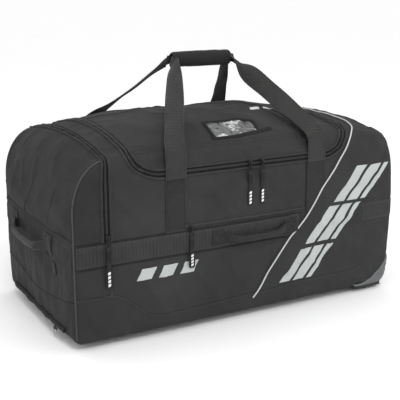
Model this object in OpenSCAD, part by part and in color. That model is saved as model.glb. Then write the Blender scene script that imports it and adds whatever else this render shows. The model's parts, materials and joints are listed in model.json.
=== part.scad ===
// Wheeled ice hockey equipment bag, built as sewn panels around two compartments.
// X runs along the bag with the wheels at +X, the front face is at -Y, +Z is up.
// The origin is at floor level under the middle of the bag.

/* [Bag body] */
// Overall length of the sewn body
bag_l = 860; // [820:5:900]
// Overall width of the sewn body, front face to back face
bag_w = 466; // [440:2:480]
// Height of the top edge of the front and back panels
rim_z = 421; // [412:1:430]
// Extra height of the crowned top in the middle of the width
crown = 36; // [16:1:44]
// Height of the fabric base above the floor
base_z = 14; // [12:1:20]
// Thickness of the lined fabric panels
wall = 5; // [4:0.5:6]

/* [Lid] */
// Position of the left edge of the lid
lid_x0 = -293; // [-300:1:-286]
// Position of the right edge of the lid at mid width
lid_x1 = 292; // [286:1:300]
// Lower edge of the lid's front lip
lip_z = 376; // [370:1:384]
// Gap between the lid and the panels around it
gap = 1.2; // [1:0.1:2]

/* [End compartment] */
// Position of the divider and of the end flap's zip
end_x = -352; // [-356:1:-346]
// Height of the end flap's lower edge
flap_z = 243; // [242:1:250]

/* [Webbing] */
// Width of the carry strap webbing
web_w = 50; // [44:1:51]
// Thickness of the webbing
web_t = 2.5; // [2:0.1:3]
// Distance of each carry strap from the middle of the bag
strap_x = 188; // [184:1:192]
// Height of the middle of the carry grip
grip_z = 595; // [585:1:605]
// Length of the padded carry grip
grip_l = 160; // [140:5:180]

/* [Wheels] */
// Wheel radius over the tyre
wheel_r = 33; // [31:1:34]
// Wheel width
wheel_w = 24; // [20:1:26]
// Axle radius
axle_r = 4; // [3:0.5:5]

/* [Hidden] */

hl = bag_l / 2;
hw = bag_w / 2;
ye = hw - 7;                 // back edge of the lid
sh_x = hl - 60;              // where the right shoulder starts to curve
sh_z = rim_z - 80;           // where the right shoulder ends
cap_z = 304;                 // where the end flap's curved cap starts
hinge_z = rim_z;             // lid hinge line
wx = 376;                    // wheel axis
wy = 204;                    // wheel mid plane
band_z0 = 189;
band_z1 = 240;
fabric = [0.26, 0.26, 0.27];
fabric_dark = [0.2, 0.2, 0.21];
webbing = [0.15, 0.15, 0.15];
plastic = [0.06, 0.06, 0.065];

// Height of the crowned top at a distance y from the middle
function zt(y) = rim_z + crown * (1 - (y / hw) * (y / hw));
// Right edge of the lid at y: a rounded corner at the front, straight behind it
lid_cx = 235;
lid_cy = -176;
function lid_edge(y) = y >= lid_cy ? lid_x1
  : lid_cx + (lid_x1 - lid_cx) * sqrt(max(0, 1 - pow((y - lid_cy) / (hw + lid_cy), 2)));
// Rows of y positions, closer together round the lid's corner
rows = concat([for (t = [90:-9:9]) lid_cy - (hw + lid_cy) * sin(t)],
  [for (y = [lid_cy:35:120]) y], [150, 180, 205]);
rows_lid = concat(rows, [ye]);
rows_all = concat(rows, [ye, hw]);

// A closed curved panel: outer[i][j] and inner[i][j] are grids of points
module curved_panel(outer, inner) {
  n = len(outer);
  m = len(outer[0]);
  s = n * m;
  pts = concat([for (r = outer) each r], [for (r = inner) each r]);
  function q(a, b, c, d) = [[a, b, c], [a, c, d]];
  top = [for (i = [0:n - 2]) for (j = [0:m - 2])
    each q(i * m + j, i * m + j + 1, (i + 1) * m + j + 1, (i + 1) * m + j)];
  bot = [for (i = [0:n - 2]) for (j = [0:m - 2])
    each q(s + i * m + j, s + (i + 1) * m + j, s + (i + 1) * m + j + 1, s + i * m + j + 1)];
  e1 = [for (j = [0:m - 2]) each q(j + 1, j, s + j, s + j + 1)];
  e2 = [for (j = [0:m - 2]) let (k = (n - 1) * m) each q(k + j, k + j + 1, s + k + j + 1, s + k + j)];
  e3 = [for (i = [0:n - 2]) each q(i * m, (i + 1) * m, s + (i + 1) * m, s + i * m)];
  e4 = [for (i = [0:n - 2]) let (k = m - 1)
    each q((i + 1) * m + k, i * m + k, s + i * m + k, s + (i + 1) * m + k)];
  polyhedron(points = pts, faces = concat(top, bot, e1, e2, e3, e4));
}

// A strap swept along stations [centre, half width vector, half thickness vector]
module strap_sweep(st) {
  n = len(st);
  pts = [for (p = st) each [p[0] - p[1] - p[2], p[0] + p[1] - p[2], p[0] + p[1] + p[2], p[0] - p[1] + p[2]]];
  sides = [for (i = [0:n - 2]) for (k = [0:3])
    let (a = i * 4 + k, b = i * 4 + (k + 1) % 4, c = (i + 1) * 4 + (k + 1) % 4, d = (i + 1) * 4 + k)
      each [[a, b, c], [a, c, d]]];
  caps = [[2, 1, 0], [3, 2, 0], [n * 4 - 4, n * 4 - 3, n * 4 - 2], [n * 4 - 4, n * 4 - 2, n * 4 - 1]];
  polyhedron(points = pts, faces = concat(sides, caps));
}

module box(x0, x1, y0, y1, z0, z1) { translate([x0, y0, z0]) cube([x1 - x0, y1 - y0, z1 - z0]); }
// Extrudes an XZ outline from y0 to y1
module xz(y0, y1) { translate([0, y1, 0]) rotate([90, 0, 0]) linear_extrude(y1 - y0) children(); }

/* ---------------- fixed panels ---------------- */
module base_panel() {
  color(plastic) difference() {
    box(-hl + wall, hl - wall, -hw + wall, hw - wall, base_z, base_z + wall - 0.5);
    for (s = [-1, 1]) translate([332, s > 0 ? wy - 26 : -wy - 40, 0]) cube([120, 66, 60]);
  }
}
module base_board() {
  color([0.1, 0.1, 0.1]) box(end_x + 10, 326, -hw + 30, hw - 30, base_z + wall - 0.5, base_z + wall + 3);
}
module side_outline(lip) {
  polygon(concat(
    [[-hl, flap_z - 3], [-hl, base_z + 18], [-hl + 5, base_z + 5], [-hl + 18, base_z], [332, base_z],
     [332, 23], [352, 25], [378, 30], [406, 46], [424, 61], [hl - wall, 66]],
    [for (a = [90:-15:0]) [sh_x + (60 - wall) * sin(a), sh_z + (rim_z - wall - 0.6 - sh_z) * cos(a)]],
    lip ? [[lid_cx + gap, rim_z - wall - 0.6], [lid_cx + gap, lip_z + 14], [lid_cx - 14, lip_z - gap],
           [-236, lip_z - gap], [-250 - gap, lip_z + 14], [-250 - gap, rim_z - wall - 0.6]]
        : [[lid_x1, rim_z - wall - 0.6], [lid_x1, rim_z - 1], [lid_x0, rim_z - 1], [lid_x0, rim_z - wall - 0.6]],
    [[end_x, rim_z - wall - 0.6], [end_x, flap_z - 3]]));
}
module front_panel() { color(fabric) xz(-hw, -hw + wall) side_outline(true); }
module back_panel() { color(fabric) xz(hw - wall, hw) side_outline(false); }
module right_end_panel() {
  color(fabric) difference() {
    box(hl - wall, hl, -hw, hw, base_z, sh_z - 0.4);
    for (s = [-1, 1]) translate([hl - 20, s > 0 ? wy - 26 : -wy - 40, 0]) cube([60, 66, 66.5]);
  }
}
module right_shoulder_panel() {
  color(fabric) curved_panel(
    [for (y = rows_all) [for (a = [0:10:90]) [sh_x + 60 * sin(a), y, sh_z + (zt(y) - sh_z) * cos(a)]]],
    [for (y = rows_all) [for (a = [0:10:90]) [sh_x + (60 - wall) * sin(a), y, sh_z + (zt(y) - wall - sh_z) * cos(a)]]]);
}
module right_top_panel() {
  color(fabric) curved_panel(
    [for (y = rows_all) [for (u = [0:0.5:1]) [(lid_edge(y) + gap) * (1 - u) + (sh_x - 0.2) * u, y, zt(y)]]],
    [for (y = rows_all) [for (u = [0:0.5:1]) [(lid_edge(y) + gap) * (1 - u) + (sh_x - 0.2) * u, y, zt(y) - wall]]]);
}
module left_bridge_panel() {
  color(fabric) curved_panel(
    [for (y = rows_all) [for (x = [end_x + 0.2, (end_x + lid_x0) / 2, lid_x0 - gap]) [x, y, zt(y)]]],
    [for (y = rows_all) [for (x = [end_x + 0.2, (end_x + lid_x0) / 2, lid_x0 - gap]) [x, y, zt(y) - wall]]]);
}
module divider_panel() {
  color(fabric_dark) translate([end_x + 1, 0, 0]) rotate([90, 0, 90]) linear_extrude(4)
    polygon(concat([[-hw + wall + 0.5, base_z + wall], [hw - wall - 0.5, base_z + wall]],
      [for (i = [10:-1:-10]) let (y = i / 10 * (hw - wall - 0.5)) [y, zt(y) - wall - 3]]));
}
module end_lower_panel() {
  color(fabric_dark) box(-hl, -hl + wall, -hw + wall + 0.2, hw - wall - 0.2, base_z + 4, flap_z - 3);
}

/* ---------------- bands, zips, straps ---------------- */
module ribs(n, l) { for (i = [0:n - 1]) translate([(i + 0.5) * l / n - 3, 0, 0]) square([6, band_z1 - band_z0]); }
module front_band() {
  color(webbing) xz(-hw - 2.2, -hw) polygon([[-hl, band_z0], [102, band_z0], [156, band_z1], [-hl, band_z1]]);
}
module back_band() { color(webbing) box(-hl, hl, hw, hw + 2.2, band_z0, band_z1); }
module end_band() { color(webbing) box(-hl - 2.2, -hl, -hw, hw, band_z0, band_z1); }
module main_zip_track() { color(plastic) box(-234, 220, -hw - 2, -hw, lip_z - 9, lip_z - 2); }
module sewn_strap(s, cut) {
  xz(s < 0 ? -hw - web_t : hw, s < 0 ? -hw : hw + web_t)
    polygon([[-web_w / 2, band_z1], cut ? [-web_w / 2 + 2, band_z1] : [web_w / 2, band_z1],
      [web_w / 2, cut ? band_z1 + 64 : band_z1 + 1], [web_w / 2, lip_z - 13], [-web_w / 2, lip_z - 13]]);
}
module front_strap_left() { color(webbing) translate([-strap_x, 0, 0]) sewn_strap(-1, false); }
module front_strap_right() { color(webbing) translate([strap_x, 0, 0]) sewn_strap(-1, true); }
module back_strap_left() { color(webbing) translate([-strap_x, 0, 0]) sewn_strap(1, false); }
module back_strap_right() { color(webbing) translate([strap_x, 0, 0]) sewn_strap(1, false); }
module side_handle_patches() {
  color(webbing) {
    box(-96, -62, -hw - 4.4, -hw - 2.2, band_z0 + 4, band_z1 - 4);
    box(104, 136, -hw - 4.4, -hw - 2.2, band_z0 + 30, band_z1 - 1);
    box(98, 118, -hw - 4.4, -hw - 2.2, band_z0 + 6, band_z0 + 29.5);
  }
}
module end_handle_patches() {
  color(webbing) {
    box(-hl - 4.4, -hl - 2.2, 126, 160, band_z0 + 4, band_z1 - 4);
    box(-hl - 4.4, -hl - 2.2, -118, -84, band_z0 + 4, band_z1 - 4);
  }
}
module pocket_zip() { color(plastic) box(-162, 150, -hw - 2, -hw, band_z1 + 1, band_z1 + 9); }
module end_zip_track() { color(plastic) box(end_x + 1, end_x + 8, -hw - 2, -hw, flap_z, rim_z - 8); }
// Centre line of the silver piping on the front panel, low end first
pipe = [[5, 56], [44, 100], [80, 157], [122, 201], [170, 244], [206, 301], [264, 357], [298, 403]];
module silver_piping() {
  d = [for (i = [0:len(pipe) - 1]) let (a = pipe[max(0, i - 1)], b = pipe[min(len(pipe) - 1, i + 1)], v = b - a)
    [-v[1], v[0]] / norm(v)];
  color([0.8, 0.8, 0.8]) xz(-hw - 2, -hw - 0.05)
    polygon(concat([for (i = [0:len(pipe) - 1]) pipe[i] + [9, -4] + d[i] * 1.2],
      [for (i = [len(pipe) - 1:-1:0]) pipe[i] + [9, -4] - d[i] * 1.2]));
}

/* ---------------- base hardware ---------------- */
module skid_rails() {
  color(plastic) for (s = [-1, 1]) translate([0, s * 110 - 16, 0]) rotate([90, 0, 0]) translate([0, 0, -32])
    linear_extrude(32) polygon([[-404, base_z - 0.1], [-396, 4], [-388, 0], [296, 0], [304, 4], [312, base_z - 0.1]]);
}
module housing() {
  difference() {
    union() {
      box(333, 419, -wy - 23.4, -wy + 24, base_z - 6, 78);
      xz(-hw - 3, -hw - 0.2) polygon([[336, 8], [336, 22], [352, 24], [378, 29], [406, 45], [424, 60],
        [hl + 6, 70], [hl + 11, 60], [hl + 11, 34], [hl + 2, 15], [hl - 12, 8]]);
      box(420, hl + 11, -hw - 3, -wy + 24, 14, 56);
      box(333, 428, -hw - 3, -wy + 24, base_z - 6, base_z - 0.1);
    }
    translate([wx, -wy - 16, 33]) rotate([-90, 0, 0]) cylinder(r = wheel_r + 4, h = 32, $fn = 96);
    translate([wx - wheel_r - 4, -wy - 16, -1]) cube([2 * wheel_r + 8, 32, 34]);
    translate([wx, -wy - 40, 33]) rotate([-90, 0, 0]) cylinder(r = axle_r, h = 80, $fn = 64);
    translate([423, -wy - 23, 20]) cube([hl - 420 + 4, 42, 31]);
  }
}
module wheel_housing_front() { color([0.4, 0.41, 0.43]) housing(); }
module wheel_housing_back() { color([0.4, 0.41, 0.43]) mirror([0, 1, 0]) housing(); }
module wheel_axles() {
  color([0.7, 0.7, 0.7]) for (s = [-1, 1])
    translate([wx, s * wy - 22, 33]) rotate([-90, 0, 0]) cylinder(r = axle_r, h = 44, $fn = 64);
}
module base_rivets() {
  color([0.6, 0.6, 0.6]) for (s = [-1, 1]) for (p = [[337, 222], [337, 188], [421, 188], [421, 222]])
    translate([p[0], s * p[1], base_z - 8]) cylinder(r = 3, h = 2, $fn = 32);
}
module base_pocket_zip() { color(plastic) box(-hl - 2, -hl, -150, 150, base_z + 6, base_z + 15); }

/* ---------------- lid ---------------- */
module lid_panel() {
  us = [0:0.25:1];
  color(fabric) curved_panel(
    [for (y = rows_lid) [for (u = us) [lid_x0 * (1 - u) + lid_edge(y) * u, y, zt(y)]]],
    [for (y = rows_lid) [for (u = us) [lid_x0 * (1 - u) + lid_edge(y) * u, y, zt(y) - wall]]]);
}
module lid_front_lip() {
  color(fabric) xz(-hw, -hw + wall) polygon([[-250, rim_z - wall - 0.2], [-250, lip_z + 14],
    [-236, lip_z], [lid_cx - 14, lip_z], [lid_cx, lip_z + 14], [lid_cx, rim_z - wall - 0.2]]);
}
module lid_zip_track() { color(plastic) box(-232, 218, -hw - 2, -hw, lip_z + 2, lip_z + 9); }
// Outline of the card window on the lid, seen from above
module on_lid(x0a, x1a, x0b, x1b, y0, y1, z0, z1) {
  ys = [for (i = [0:6]) y0 + (y1 - y0) * i / 6];
  function xa(y) = x0a + (x0b - x0a) * (y - y0) / (y1 - y0);
  function xb(y) = x1a + (x1b - x1a) * (y - y0) / (y1 - y0);
  curved_panel([for (y = ys) [for (u = [0:0.5:1]) [xa(y) * (1 - u) + xb(y) * u, y, zt(y) + z1]]],
    [for (y = ys) [for (u = [0:0.5:1]) [xa(y) * (1 - u) + xb(y) * u, y, zt(y) + z0]]]);
}
module id_window() { color([0.75, 0.78, 0.8, 0.4]) on_lid(-56, 46, -40, 58, -184, -80, 0.3, 1.2); }
module id_window_binding() {
  color(plastic) {
    on_lid(-66, 92, -64, 90, -196, -184.6, 0.3, 2);
    on_lid(-65, -57, -49, -41, -184, -80, 0.3, 2);
    on_lid(47, 55, 59, 67, -184, -80, 0.3, 2);
    on_lid(-49, 68, -47, 70, -79.4, -70, 0.3, 2);
  }
}

/* ---------------- end flap ---------------- */
module flap_end_panel() { color(fabric_dark) box(-hl, -hl + wall, -hw, hw, flap_z, cap_z - 0.4); }
module flap_top_panel() {
  color(fabric_dark) curved_panel(
    [for (y = rows_all) [for (a = [0:10:90]) [end_x - 1.5 - (hl + end_x - 1.5) * sin(a), y, cap_z + (zt(y) - cap_z) * cos(a)]]],
    [for (y = rows_all) [for (a = [0:10:90]) [end_x - 1.5 - (hl + end_x - 1.5 - wall) * sin(a), y, cap_z + (zt(y) - wall - cap_z) * cos(a)]]]);
}
module gusset_outline() {
  polygon(concat([[-hl + wall + 0.4, flap_z + 8], [-hl + wall + 8, flap_z], [end_x - 1.5, flap_z]],
    [for (a = [0:10:90]) [end_x - 1.5 - (hl + end_x - 1.5 - wall - 0.4) * sin(a), cap_z + (rim_z - wall - 0.8 - cap_z) * cos(a)]]));
}
module flap_front_gusset() { color(fabric_dark) xz(-hw, -hw + wall) gusset_outline(); }
module flap_back_gusset() { color(fabric_dark) xz(hw - wall, hw) gusset_outline(); }

/* ---------------- wheels ---------------- */
module wheel_hub(s) {
  color([0.5, 0.5, 0.52]) translate([wx, s * wy - wheel_w / 2, 33]) rotate([-90, 0, 0]) difference() {
    union() {
      cylinder(r = 22, h = wheel_w, $fn = 96);
    }
    translate([0, 0, -1]) cylinder(r = axle_r + 0.06, h = wheel_w + 2, $fn = 64);
    for (e = [-1, wheel_w - 5]) translate([0, 0, e]) difference() {
      cylinder(r = 18, h = 6, $fn = 64);
      translate([0, 0, -1]) cylinder(r = 8, h = 8, $fn = 64);
    }
  }
}
module tyre(s) {
  color([0.1, 0.1, 0.1]) translate([wx, s * wy, 33]) rotate([-90, 0, 0]) rotate_extrude($fn = 128)
    polygon([[22, -wheel_w / 2], [wheel_r - 2.5, -wheel_w / 2], [wheel_r, -wheel_w / 2 + 4],
      [wheel_r, wheel_w / 2 - 4], [wheel_r - 2.5, wheel_w / 2], [22, wheel_w / 2]]);
}
module wheel_hub_front() { wheel_hub(-1); }
module wheel_hub_back() { wheel_hub(1); }
module tyre_front() { tyre(-1); }
module tyre_back() { tyre(1); }

/* ---------------- carry loops and grip ---------------- */
gx0 = -grip_l / 2 + 6;
gx1 = grip_l / 2 + 6;
function leg(s, x, g) = let (k = s * (hw + web_t + 3.2), w = [web_w / 2, 0, 0], m = [x, k, 0] , e = [g, s * 8, grip_z]) [
  [[x, k, lip_z - 12], w, [0, 1.2 * s, 0]],
  [[x, k, rim_z - 6], w, [0, 1.2 * s, 0.2]],
  [[x * 0.97, s * (hw - 12), rim_z + 28], w, [0, 0.9 * s, 0.8]],
  [[x * 0.6 + e[0] * 0.4, s * (hw * 0.6 + 3), rim_z * 0.4 + grip_z * 0.6 - 2], w * 0.96, [0, 0.9 * s, 0.9]],
  [[x * 0.25 + e[0] * 0.75, s * (hw * 0.25 + 5), rim_z * 0.12 + grip_z * 0.88 - 2], [17, 0, x > g ? 9 : -9], [0, 1.2 * s, 0.3]]];
function rev(v) = [for (i = [len(v) - 1:-1:0]) v[i]];
module carry_loop(s) {
  a = leg(s, -strap_x, gx0);
  b = leg(s, strap_x, gx1);
  mid = [for (e = [[gx0 - 7, 2], [gx0 + 4, 0.5], [gx1 - 4, -0.5], [gx1 + 7, -2]])
    [[e[0], s * 8, grip_z], [e[1], 0, -9], [0, 1.2 * s, 0]]];
  flipb = [for (p = rev(b)) [p[0], -p[1], p[2]]];
  color(webbing) if (s < 0) strap_sweep([for (p = concat(a, mid, flipb)) [p[0], p[1], -p[2]]]);
  else strap_sweep([for (p = concat(a, mid, flipb)) [p[0], -p[1], -p[2]]]);
}
module front_carry_loop() { carry_loop(-1); }
module back_carry_loop() { carry_loop(1); }
module grip_half(s) {
  translate([gx0, 0, grip_z]) rotate([90, 0, 90]) difference() {
    cylinder(r = 19, h = grip_l, $fn = 96);
    translate([0, 0, -1]) cylinder(r = 13, h = grip_l + 2, $fn = 96);
    translate([s < 0 ? -0.25 : -30, -30, -1]) cube([s < 0 ? 40 : 30.25, 60, grip_l + 2]);
  }
}
module grip_pad() { color(webbing) grip_half(-1); }
module grip_flap() { color(webbing) grip_half(1); }

/* ---------------- grab handles ---------------- */
module side_handle_bar() { color(webbing) box(-46, 84, -hw - 18, -hw - 10, band_z0 + 13, band_z0 + 38); }
module side_handle_ends() {
  color(webbing) translate([0, 0, band_z0 + 15]) linear_extrude(22) {
    polygon([[-76, -hw - 4.8], [-46.4, -hw - 17.6], [-46.4, -hw - 11], [-60, -hw - 4.8]]);
    polygon([[114, -hw - 4.8], [84.4, -hw - 17.6], [84.4, -hw - 11], [98, -hw - 4.8]]);
  }
}
module end_handle_bar() { color(webbing) box(-hl - 21, -hl - 13, -58, 100, band_z0 + 4, band_z0 + 30); }
module end_handle_ends() {
  color(webbing) translate([0, 0, band_z0 + 5]) linear_extrude(24) {
    polygon([[-hl - 4.8, 138], [-hl - 20.6, 100.4], [-hl - 14, 100.4], [-hl - 4.8, 120]]);
    polygon([[-hl - 4.8, -96], [-hl - 20.6, -58.4], [-hl - 14, -58.4], [-hl - 4.8, -78]]);
  }
}

/* ---------------- zip sliders and pulls ---------------- */
// Slider body on the front face, centred on x, z
module slider(x, z) {
  color([0.12, 0.12, 0.12]) difference() {
    box(x - 5.5, x + 5.5, -hw - 9.4, -hw - 4.4, z - 9, z + 9);
    box(x - 7, x + 7, -hw - 8.2, -hw - 6.2, z - 6.5, z - 3.5);
  }
}
// Hanging pull with its pin through the slider's bail
module pull(x, z, l) {
  color(plastic) {
    box(x - 6.6, x - 5.8, -hw - 9, -hw - 5.6, z - 12, z - 3.8);
    box(x + 5.8, x + 6.6, -hw - 9, -hw - 5.6, z - 12, z - 3.8);
    translate([x - 6.6, -hw - 7.2, z - 5]) rotate([0, 90, 0]) cylinder(r = 0.8, h = 13.2, $fn = 32);
    box(x - 6.6, x + 6.6, -hw - 9, -hw - 5.6, z - l, z - 10);
  }
}
ms_z = lip_z;
module main_slider_left() { slider(2, ms_z); }
module main_slider_right() { slider(34, ms_z + 1); }
module main_pull_left() { pull(2, ms_z, 98); }
module main_pull_right() { pull(34, ms_z + 1, 97); }
module pocket_slider() { slider(-152, band_z1 + 5); }
module pocket_pull() { pull(-152, band_z1 + 5, 90); }
module end_slider() { slider(end_x, flap_z + 6); }
module end_pull() { pull(end_x, flap_z + 6, 110); }
module base_pocket_slider() { color([0.12, 0.12, 0.12]) difference() {
    box(-hl - 9.4, -hl - 3, -127, -116, base_z + 3, base_z + 16);
    box(-hl - 8.2, -hl - 6.2, -129, -114, base_z + 5, base_z + 8); } }
module base_pocket_pull() {
  color([0.8, 0.8, 0.8]) {
    box(-hl - 9, -hl - 5.6, -115.7, -114.9, base_z - 2, base_z + 7.7);
    box(-hl - 9, -hl - 5.6, -128.1, -127.3, base_z - 2, base_z + 7.7);
    translate([-hl - 7.2, -128.1, base_z + 6.5]) rotate([-90, 0, 0]) cylinder(r = 0.8, h = 13.2, $fn = 32);
    box(-hl - 9, -hl - 5.6, -128.1, -114.9, base_z - 6, base_z - 1);
  }
}

base_panel();
base_board();
front_panel();
back_panel();
right_end_panel();
right_shoulder_panel();
right_top_panel();
left_bridge_panel();
divider_panel();
end_lower_panel();
front_band();
back_band();
end_band();
main_zip_track();
front_strap_left();
front_strap_right();
back_strap_left();
back_strap_right();
side_handle_patches();
end_handle_patches();
pocket_zip();
end_zip_track();
silver_piping();
skid_rails();
wheel_housing_front();
wheel_housing_back();
wheel_axles();
base_rivets();
base_pocket_zip();
lid_panel();
lid_front_lip();
lid_zip_track();
id_window();
id_window_binding();
flap_end_panel();
flap_top_panel();
flap_front_gusset();
flap_back_gusset();
wheel_hub_front();
tyre_front();
wheel_hub_back();
tyre_back();
front_carry_loop();
grip_pad();
back_carry_loop();
grip_flap();
side_handle_bar();
side_handle_ends();
end_handle_bar();
end_handle_ends();
main_slider_left();
main_pull_left();
main_slider_right();
main_pull_right();
pocket_slider();
pocket_pull();
end_slider();
end_pull();
base_pocket_slider();
base_pocket_pull();
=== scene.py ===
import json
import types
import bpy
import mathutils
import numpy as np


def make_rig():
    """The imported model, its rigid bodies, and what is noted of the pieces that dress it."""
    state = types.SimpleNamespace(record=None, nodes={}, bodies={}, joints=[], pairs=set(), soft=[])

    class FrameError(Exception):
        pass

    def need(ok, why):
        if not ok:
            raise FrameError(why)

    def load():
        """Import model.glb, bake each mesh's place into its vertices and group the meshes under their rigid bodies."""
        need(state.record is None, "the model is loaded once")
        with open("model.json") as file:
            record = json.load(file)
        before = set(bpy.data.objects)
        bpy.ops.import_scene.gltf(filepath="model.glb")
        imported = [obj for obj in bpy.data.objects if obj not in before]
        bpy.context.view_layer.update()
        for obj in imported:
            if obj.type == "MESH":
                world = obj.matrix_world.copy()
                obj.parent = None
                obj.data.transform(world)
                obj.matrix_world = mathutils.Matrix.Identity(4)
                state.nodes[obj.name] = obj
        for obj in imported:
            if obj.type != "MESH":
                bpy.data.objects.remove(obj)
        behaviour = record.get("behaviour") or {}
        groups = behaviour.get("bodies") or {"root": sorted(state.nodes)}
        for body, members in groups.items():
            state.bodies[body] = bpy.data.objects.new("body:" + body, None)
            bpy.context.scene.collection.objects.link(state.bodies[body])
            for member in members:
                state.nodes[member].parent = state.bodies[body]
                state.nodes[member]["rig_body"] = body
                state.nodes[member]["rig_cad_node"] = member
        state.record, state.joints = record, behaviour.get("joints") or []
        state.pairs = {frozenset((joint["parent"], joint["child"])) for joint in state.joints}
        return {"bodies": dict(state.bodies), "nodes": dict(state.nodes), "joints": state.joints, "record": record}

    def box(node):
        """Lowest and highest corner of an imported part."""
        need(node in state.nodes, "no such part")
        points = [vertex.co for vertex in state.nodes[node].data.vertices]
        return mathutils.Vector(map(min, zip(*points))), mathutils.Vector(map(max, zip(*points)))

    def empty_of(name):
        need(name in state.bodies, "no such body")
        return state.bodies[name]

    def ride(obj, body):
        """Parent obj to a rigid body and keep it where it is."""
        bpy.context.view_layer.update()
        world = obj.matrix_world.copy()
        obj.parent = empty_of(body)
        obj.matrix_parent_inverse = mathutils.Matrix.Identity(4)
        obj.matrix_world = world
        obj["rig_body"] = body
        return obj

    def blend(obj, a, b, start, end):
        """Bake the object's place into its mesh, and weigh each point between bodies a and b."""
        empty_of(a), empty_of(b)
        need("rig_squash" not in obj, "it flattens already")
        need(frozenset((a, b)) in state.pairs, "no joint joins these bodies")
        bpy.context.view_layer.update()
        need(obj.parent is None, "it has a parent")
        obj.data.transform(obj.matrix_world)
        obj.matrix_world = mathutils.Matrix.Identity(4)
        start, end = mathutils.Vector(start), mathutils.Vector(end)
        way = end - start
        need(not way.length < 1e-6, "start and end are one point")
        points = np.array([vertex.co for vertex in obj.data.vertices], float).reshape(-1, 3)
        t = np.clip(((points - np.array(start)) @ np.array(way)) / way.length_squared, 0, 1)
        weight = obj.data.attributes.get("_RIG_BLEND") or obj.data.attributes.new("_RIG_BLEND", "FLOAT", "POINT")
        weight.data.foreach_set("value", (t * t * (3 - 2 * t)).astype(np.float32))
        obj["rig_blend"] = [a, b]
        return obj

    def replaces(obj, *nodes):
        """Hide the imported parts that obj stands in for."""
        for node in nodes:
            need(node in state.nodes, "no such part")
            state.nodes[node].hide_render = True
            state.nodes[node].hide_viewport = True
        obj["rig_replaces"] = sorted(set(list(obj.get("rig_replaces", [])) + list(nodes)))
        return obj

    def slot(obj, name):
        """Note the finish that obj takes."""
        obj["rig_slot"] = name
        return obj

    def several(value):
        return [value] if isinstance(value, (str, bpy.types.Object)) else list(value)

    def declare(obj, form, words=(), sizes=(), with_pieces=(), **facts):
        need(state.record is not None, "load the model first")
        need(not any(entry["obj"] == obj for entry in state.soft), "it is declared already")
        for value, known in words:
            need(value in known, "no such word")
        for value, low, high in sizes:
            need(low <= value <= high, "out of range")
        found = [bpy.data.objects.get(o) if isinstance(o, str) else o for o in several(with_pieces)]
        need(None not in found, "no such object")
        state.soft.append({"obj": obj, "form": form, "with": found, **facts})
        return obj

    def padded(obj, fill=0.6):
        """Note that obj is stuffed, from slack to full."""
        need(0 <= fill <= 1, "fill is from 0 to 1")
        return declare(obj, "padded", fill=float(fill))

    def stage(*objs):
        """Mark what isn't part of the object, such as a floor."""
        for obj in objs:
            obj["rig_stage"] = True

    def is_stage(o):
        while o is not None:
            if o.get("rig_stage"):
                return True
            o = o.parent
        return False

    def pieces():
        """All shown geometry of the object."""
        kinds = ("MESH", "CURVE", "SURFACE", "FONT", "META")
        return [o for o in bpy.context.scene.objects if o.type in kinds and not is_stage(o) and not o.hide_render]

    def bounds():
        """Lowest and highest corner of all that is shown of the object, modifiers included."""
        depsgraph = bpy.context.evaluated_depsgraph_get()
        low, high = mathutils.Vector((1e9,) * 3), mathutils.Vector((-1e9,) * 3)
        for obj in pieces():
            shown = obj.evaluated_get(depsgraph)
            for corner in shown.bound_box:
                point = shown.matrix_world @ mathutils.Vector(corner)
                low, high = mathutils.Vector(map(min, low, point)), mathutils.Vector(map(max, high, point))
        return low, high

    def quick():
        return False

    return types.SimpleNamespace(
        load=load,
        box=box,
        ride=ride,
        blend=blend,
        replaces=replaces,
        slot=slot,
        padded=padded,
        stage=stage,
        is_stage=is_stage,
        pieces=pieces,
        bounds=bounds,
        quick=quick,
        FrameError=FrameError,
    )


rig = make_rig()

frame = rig.load()

import json
import math

import bmesh
import bpy
import numpy as np
from mathutils import Vector
from mathutils.bvhtree import BVHTree

cad_low, cad_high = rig.bounds()
CAD_BOX = [[float(v) for v in cad_low], [float(v) for v in cad_high]]
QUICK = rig.quick()

# ------------------------------------------------------------------ sizes, from the CAD frame
fp_lo, fp_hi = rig.box("front_panel")
bp_lo, bp_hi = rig.box("back_panel")
lid_lo, lid_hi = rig.box("lid_panel")
lip_lo, lip_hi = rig.box("lid_front_lip")
flap_lo, flap_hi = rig.box("flap_end_panel")
base_lo, base_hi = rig.box("base_panel")
band_lo, band_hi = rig.box("front_band")
X0, X1 = flap_lo[0] + 0.001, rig.box("right_end_panel")[1][0] - 0.001
W = abs(fp_lo[1]) - 0.0005
Z0, Z1 = base_lo[2] + 0.0005, 0.421
CROWN = 0.062
LIPZ = lip_lo[2]
FLAPZ = flap_lo[2]
LIDX0 = lid_lo[0]
LIDX1 = lid_hi[0]
ENDX = -0.352
BZ0, BZ1 = band_lo[2], band_hi[2]
STRAPX = 0.188


def sstep(a, b, v):
    t = np.clip((np.asarray(v, float) - a) / (b - a), 0, 1)
    return t * t * (3 - 2 * t)


# ------------------------------------------------------------------ repeatable noise
def _hash(ix, iy, iz, seed):
    n = (ix * 374761393 + iy * 668265263 + iz * 2147483647 + seed * 1274126177) & 0x7FFFFFFF
    n = ((n ^ (n >> 13)) * 1274126177) & 0x7FFFFFFF
    n = (n ^ (n >> 16)) & 0x7FFFFFFF
    return n / float(0x7FFFFFFF) * 2 - 1


def noise3(p, scale, seed=0):
    """Smooth value noise in -1..1 at points p, one feature per scale metres."""
    q = np.asarray(p, float) / scale
    i = np.floor(q).astype(np.int64)
    f = q - i
    f = f * f * f * (f * (f * 6 - 15) + 10)
    out = np.zeros(len(q))
    for dx in (0, 1):
        for dy in (0, 1):
            for dz in (0, 1):
                w = (f[:, 0] if dx else 1 - f[:, 0]) * (f[:, 1] if dy else 1 - f[:, 1]) * (f[:, 2] if dz else 1 - f[:, 2])
                out += w * _hash(i[:, 0] + dx, i[:, 1] + dy, i[:, 2] + dz, seed)
    return out


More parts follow.
